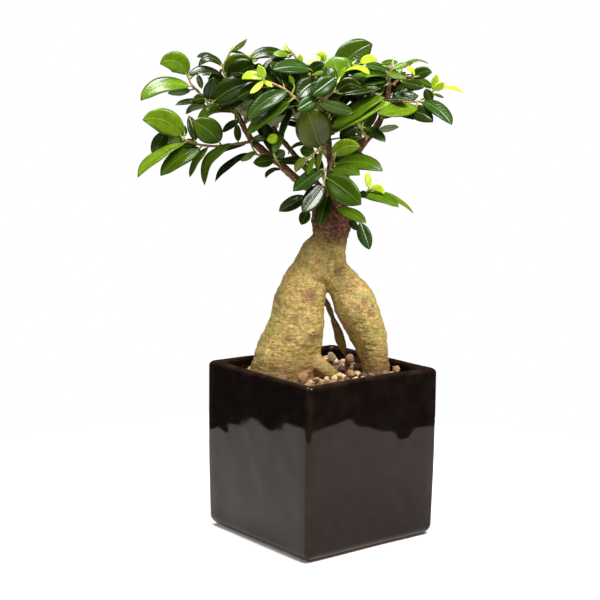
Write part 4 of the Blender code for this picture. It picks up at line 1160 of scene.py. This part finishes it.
def set_out_shoots():
    """Each shoot's twig path, sizes and leaves, in the tree's frame."""
    kept_clear = ["pot", "gravel_bed", "rootstock"]
    kept_clear += [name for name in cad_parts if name.startswith(("stone", "limb"))]
    solids = [solid_tree(name) for name in kept_clear]
    shoots, stems = {}, []
    for name in list(SHOOTS) + list(BACK_SHOOTS):
        back = name in BACK_SHOOTS
        points, rows = (BACK_SHOOTS if back else SHOOTS)[name]
        first, last = BACK_TWIG_RADIUS if back else TWIG_RADIUS
        steps = len(points) - 1
        radii = [first + (last - first) * step / steps for step in range(steps + 1)]
        path, sizes = clear_path(name, [set_out(*point) for point in points], radii, solids + stems)
        if back:
            leaves, count = habit_leaves(name, path, rows), rows
        else:
            leaves, count = [leaf_shape(row) for row in rows], len(rows)
        tree = tube_tree(path, sizes, TWIG_SIDES)
        shoots[name] = {"path": path, "sizes": sizes, "tree": tree, "leaves": leaves, "count": count}
        stems.append(tree)
    found = place_leaves(shoots, solids)
    print("leaves of the solid model:", sum(len(leaves) for leaves in found.values()))
    return shoots, add_inner_leaves(shoots, found, solids)


shoots, placed_leaves = set_out_shoots()
print("leaves:", sum(len(found) for found in placed_leaves.values()))

# %% [markdown]
# ## Leaf finish
#
# A fig leaf is thick and waxy, so it shines: roughness about 0.2 on its upper face, and duller and
# paler below. Its midrib and thin margin are paler than the blade, and side veins run out from the
# midrib every few millimetres. Each leaf is tinted by its age: new ones are yellow-green, old ones
# deep green. The blade stores, at each point, its distances in millimetres along the leaf, from the
# midrib and from the margin, so ribs and rim keep their real width on a leaf of any size.

# %% Waxy leaf
LEAF_TINTS = {
    "D": ("1A2704", "2B3E06"), "M": ("314706", "455E08"), "F": ("496A09", "698412"),
    "Y": ("9CC41C", "D2EA3C"), "G": ("1C330C", "2B4A12"), "O": ("585F14", "475314"),
    "U": ("314509", "425C11"), "H": ("182504", "2F450A"),
}
PETIOLE_TINT = "98A24A"
BUD_TINT = "C6CE7C"
SIDE_VEIN_MM = 3.2


def waxy_leaf(name, under):
    rough = 0.45 if under else 0.2
    made, tree, shader = finish_named(name, Roughness=rough, IOR=1.45, Specular_IOR_Level=0.28)
    place = object_place(tree)
    tint = stored(tree, "leaf_tint")["Color"]
    blade = add(tree, "SeparateXYZ", i0=stored(tree, "leaf_mm")["Vector"])
    along, from_rib, from_edge = blade.outputs
    mottle = grain(tree, place, 6, 3)
    body = blended(tree, between(tree, mottle, 0.3, 0.7, 0.0, 0.35), tint, linear("1F300C"))
    slant = reckoned(tree, "MULTIPLY_ADD", from_rib, -0.75, along)
    beat = reckoned(tree, "PINGPONG", slant, SIDE_VEIN_MM / 2)
    veins = between(tree, beat, 0.05, 0.42, 1.0, 0.0)
    soft_veins = reckoned(tree, "MULTIPLY", veins, 0.06)
    pale = blended(tree, 0.17, tint, linear("B4CC5C"))
    body = blended(tree, soft_veins, body, pale)
    rib = between(tree, from_rib, 0.10, 0.42, 0.8, 0.0)
    rim = between(tree, from_edge, 0.10, 0.40, 0.25, 0.0)
    body = blended(tree, rib, body, pale)
    body = blended(tree, rim, body, pale)
    if under:
        body = blended(tree, 0.26, body, linear("8FA456"))
    tree.links.new(body, shader.inputs["Base Color"])
    hollow = between(tree, from_rib, 0.0, 1.1, 1.0 if under else 0.0, 0.0 if under else 1.0)
    first = relief(tree, shader, hollow, 0.22)
    second = relief(tree, shader, veins, 0.03, first)
    relief(tree, shader, grain(tree, place, 5, 3), 0.12, second)
    return made


LEAF_TOP = waxy_leaf("waxy_leaf", False)
LEAF_UNDER = waxy_leaf("leaf_underside", True)
print("finishes:", LEAF_TOP.name, LEAF_UNDER.name)

# %% [markdown]
# ## Shoots and their leaves
#
# A leaf could be a flat picture on a card, but it would vanish edge-on. Here each blade is a curved
# sheet with a top and an underside that meet in a thin margin. It folds along an arched midrib, its
# margin waves a little, and its tip turns down. The blade, its stalk, the twig and the pointed bud at
# the end grew as one piece, so each shoot is one mesh.

# %% Build one blade, stalk, twig and bud
ALONG_STEPS = 16
ACROSS_STEPS = 8
BLADE_HALF_THICK = 0.22
STALK_STEPS = 5
STALK_SIDES = 6
TWIG_ROUND = 8


def blade_half(share):
    """Half width of a fig leaf along its length, as a share of the widest: blunt, with a short point."""
    body = math.sin(math.pi * share ** 0.92) ** 0.6
    point = max(0.0, (share - 0.86) / 0.14)
    return body * (1 - 0.35 * point)


class ShootMesh:
    """Points, faces and what the finishes need, gathered for one shoot."""

    def __init__(self):
        self.points, self.faces, self.finish, self.tints, self.places = [], [], [], [], []

    def point(self, place, tint, blade=(0.0, 5.0, 5.0)):
        self.points.append(to_world(place))
        self.tints.append(tint)
        self.places.append(blade)
        return len(self.points) - 1

    def face(self, corners, finish):
        self.faces.append(tuple(corners))
        self.finish.append(finish)

    def tube(self, path, radii, tint, finish, sides):
        """A round tube along a path, closed at its ends."""
        rings = []
        up = Vector((0.3, 0.2, 1)).normalized()
        for index, (place, radius) in enumerate(zip(path, radii)):
            ahead = (path[min(index + 1, len(path) - 1)] - path[max(index - 1, 0)]).normalized()
            side, up = square_to(ahead, up)
            turns = [2 * math.pi * step / sides for step in range(sides)]
            rings.append([self.point(place + (side * math.cos(t) + up * math.sin(t)) * radius, tint)
                          for t in turns])
        for first, second in zip(rings, rings[1:]):
            for a in range(sides):
                b = (a + 1) % sides
                self.face((first[a], first[b], second[b], second[a]), finish)
        self.face(reversed(rings[0]), finish)
        self.face(rings[-1], finish)

    def blade(self, leaf, tint, rng):
        """A leaf blade: a top sheet and an underside that share their margin."""
        length = (leaf["tip"] - leaf["base"]).length
        phase, wave = rng.uniform(0, 6.3), rng.uniform(0.02, 0.06)
        droop = rng.uniform(0.01, 0.05) * length
        rows = []
        for step in range(ALONG_STEPS + 1):
            share = 0.012 + 0.988 * step / ALONG_STEPS
            centre = midrib_at(leaf, min(share, 1.0))
            side, up = frame_at(leaf, share)
            centre = centre - up * droop * max(0.0, share - 0.55) ** 2 * 4
            half = max(0.12, blade_half(min(share, 0.999)) * leaf["width"] / 2)
            row = []
            for column in range(ACROSS_STEPS + 1):
                out = 2 * column / ACROSS_STEPS - 1
                fold = LEAF_FOLD * half * (math.sqrt(out * out + 0.03) - 0.17)
                curl = 0.10 * half * out ** 4
                ripple = wave * half * out * out * math.sin(phase + 9 * share + (1.3 if out > 0 else 0))
                spot = centre + side * half * out + up * (fold - curl + ripple)
                blade = (share * length, abs(out) * half, (1 - abs(out)) * half)
                margin = column in (0, ACROSS_STEPS) or step in (0, ALONG_STEPS)
                if margin:
                    both = self.point(spot, tint, blade)
                    row.append((both, both))
                else:
                    thick = up * BLADE_HALF_THICK * (1 + 1.6 * max(0.0, 1 - abs(out) * 6))
                    row.append((self.point(spot + up * BLADE_HALF_THICK, tint, blade),
                                self.point(spot - thick, tint, blade)))
            rows.append(row)
        for low, high in zip(rows, rows[1:]):
            for left, right, far_right, far_left in zip(low, low[1:], high[1:], high):
                self.face((left[0], far_left[0], far_right[0], right[0]), 0)
                self.face((left[1], right[1], far_right[1], far_left[1]), 1)

    def stalk(self, leaf, root, tint):
        """A stalk from the twig to the blade's foot, bending into the midrib."""
        inside = midrib_at(leaf, 0.06)
        bend = leaf["base"] - (inside - leaf["base"]).normalized() * (leaf["base"] - root).length * 0.35
        path = [on_curve(root, bend, inside, step / STALK_STEPS) for step in range(STALK_STEPS + 1)]
        radii = [0.85 - 0.35 * step / STALK_STEPS for step in range(STALK_STEPS + 1)]
        self.tube(path, radii, tint, 0, STALK_SIDES)

    def bud(self, path, rng):
        """The pointed sheath that wraps the next leaf at a twig's end."""
        ahead = (path[-1] - path[-2]).normalized()
        long = rng.uniform(6, 9)
        shares = (0.0, 0.15, 0.35, 0.6, 0.85, 1.0)
        radii = (0.7, 0.95, 0.95, 0.7, 0.35, 0.08)
        lean = Vector((0, 0, 0.2))
        places = [path[-1] + (ahead + lean * share) * long * share for share in shares]
        self.tube(places, radii, linear(BUD_TINT), 0, STALK_SIDES)

    def to_object(self, name):
        made = mesh_object(name, self.points, self.faces, LEAF_TOP, LEAF_UNDER, TWIG_BARK)
        made.data.polygons.foreach_set("material_index", self.finish)
        tints = [value for tint in self.tints for value in tint]
        store(made, "leaf_tint", "FLOAT_COLOR", "color", tints)
        places = [value for place in self.places for value in place]
        store(made, "leaf_mm", "FLOAT_VECTOR", "vector", places)
        return made


def smooth_path(points, sizes, steps=4):
    """More points along a path, on a smooth curve through its own points."""
    path, radii = [], []
    ends = [points[0] * 2 - points[1], *points, points[-1] * 2 - points[-2]]
    for index in range(len(points) - 1):
        a, b, c, d = ends[index:index + 4]
        for step in range(steps):
            t = step / steps
            path.append(0.5 * ((2 * b) + (c - a) * t + (2 * a - 5 * b + 4 * c - d) * t * t
                               + (3 * b - a - 3 * c + d) * t ** 3))
            radii.append(sizes[index] + (sizes[index + 1] - sizes[index]) * t)
    return path + [points[-1]], radii + [sizes[-1]]


print("blade:", ALONG_STEPS * ACROSS_STEPS * 2, "faces")


# %% Grow every shoot
def leaf_colour(age, rng):
    low, high = (linear(code) for code in LEAF_TINTS[age])
    share = rng.random()
    return tuple(a + (b - a) * share for a, b in zip(low, high))


def grow(name):
    rng = random.Random(name + " looks")
    shoot = shoots[name]
    mesh = ShootMesh()
    path, radii = smooth_path(shoot["path"], shoot["sizes"])
    knots = [radius * (1 + 0.10 * math.sin(index * 1.9)) for index, radius in enumerate(radii)]
    mesh.tube(path, knots, linear("A37B50"), 2, TWIG_ROUND)
    if name in SHOOTS and len(shoot["leaves"]) > 3:
        mesh.bud(path, rng)
    for leaf, root in placed_leaves[name]:
        tint = leaf_colour(leaf.get("age", "H"), rng)
        mesh.stalk(leaf, root, linear(PETIOLE_TINT))
        mesh.blade(leaf, tint, rng)
    made = mesh.to_object("leafy_" + name)
    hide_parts(name)
    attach(made, "root")
    return made


worst = 0.0
for name in shoots:
    made = grow(name)
    low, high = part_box(name)
    points = np.array([vertex.co for vertex in made.data.vertices])
    below, above = np.array(low) - points.min(0), points.max(0) - np.array(high)
    worst = max(worst, float(below.max()), float(above.max()))
print("shoots grown:", len(shoots), "- furthest outside its solid's box:", round(worst * 1000, 1), "mm")

# %% [markdown]
# ## Floor, light and camera
#
# The tree stands on a plain pale table top in a dark room. The glaze mirrors the table in its lower
# half and the dark room above it, which is what makes it read as gloss black. The background shows
# white to the camera and lights the scene softly, and is kept dim in mirror images only. Three
# soft lamps put highlights on the waxy leaves.

# %% Table top and room
TABLE_RADIUS = 0.44


def make_table():
    made, tree, shader = finish_named("pale_table", Roughness=0.7, Base_Color=linear("F4F4F2"))
    bm = bmesh.new()
    bmesh.ops.create_circle(bm, cap_ends=True, segments=128, radius=TABLE_RADIUS)
    mesh = bpy.data.meshes.new("table_top")
    bm.to_mesh(mesh)
    bm.free()
    table = bpy.data.objects.new("table_top", mesh)
    table.location.z = -0.0002
    bpy.context.scene.collection.objects.link(table)
    mesh.materials.append(made)
    return table


def make_room():
    world = bpy.data.worlds.new("room")
    world.use_nodes = True
    bpy.context.scene.world = world
    tree = world.node_tree
    rays = add(tree, "LightPath").outputs
    soft = reckoned(tree, "MULTIPLY_ADD", rays["Is Camera Ray"], 0.64, 0.36)
    strength = reckoned(tree, "MULTIPLY_ADD", rays["Is Glossy Ray"], -0.34, soft)
    fill(tree, tree.nodes["Background"].inputs["Color"], (1, 1, 1, 1))
    tree.links.new(strength, tree.nodes["Background"].inputs["Strength"])


def soft_lamp(name, place, size, power, target=(0, 0, 0.25)):
    light = bpy.data.lights.new(name, "AREA")
    light.shape = "RECTANGLE"
    light.size, light.size_y = size
    light.energy = power
    lamp = bpy.data.objects.new(name, light)
    lamp.location = place
    lamp.rotation_euler = (Vector(target) - Vector(place)).to_track_quat("-Z", "Y").to_euler()
    bpy.context.scene.collection.objects.link(lamp)
    return lamp


make_table()
make_room()
across = Vector((0.7841, -0.6205, 0))
toward = Vector((-0.6157, -0.7755, 0))
soft_lamp("key_lamp", across * 0.45 + toward * 0.55 + Vector((0, 0, 1.25)), (0.5, 0.4), 30)
soft_lamp("top_lamp", across * -0.35 + toward * -0.25 + Vector((0, 0, 1.35)), (0.5, 0.5), 18)
soft_lamp("left_lamp", across * -1.0 + toward * 0.7 + Vector((0, 0, 0.95)), (0.35, 0.5), 4)
print("lamps: 3")

# %% Camera
camera_data = bpy.data.cameras.new("camera")
camera_data.lens = 82.22
camera_data.sensor_width = 36
camera = bpy.data.objects.new("camera", camera_data)
camera.location = (-0.6969, -0.8482, 0.3460)
camera.rotation_euler = (1.4305, -0.0112, -0.6695)
bpy.context.scene.collection.objects.link(camera)
bpy.context.scene.camera = camera
bpy.context.scene.view_settings.view_transform = "Standard"
print("camera at", tuple(camera.location))

# %% Update the scene
bpy.context.view_layer.update()
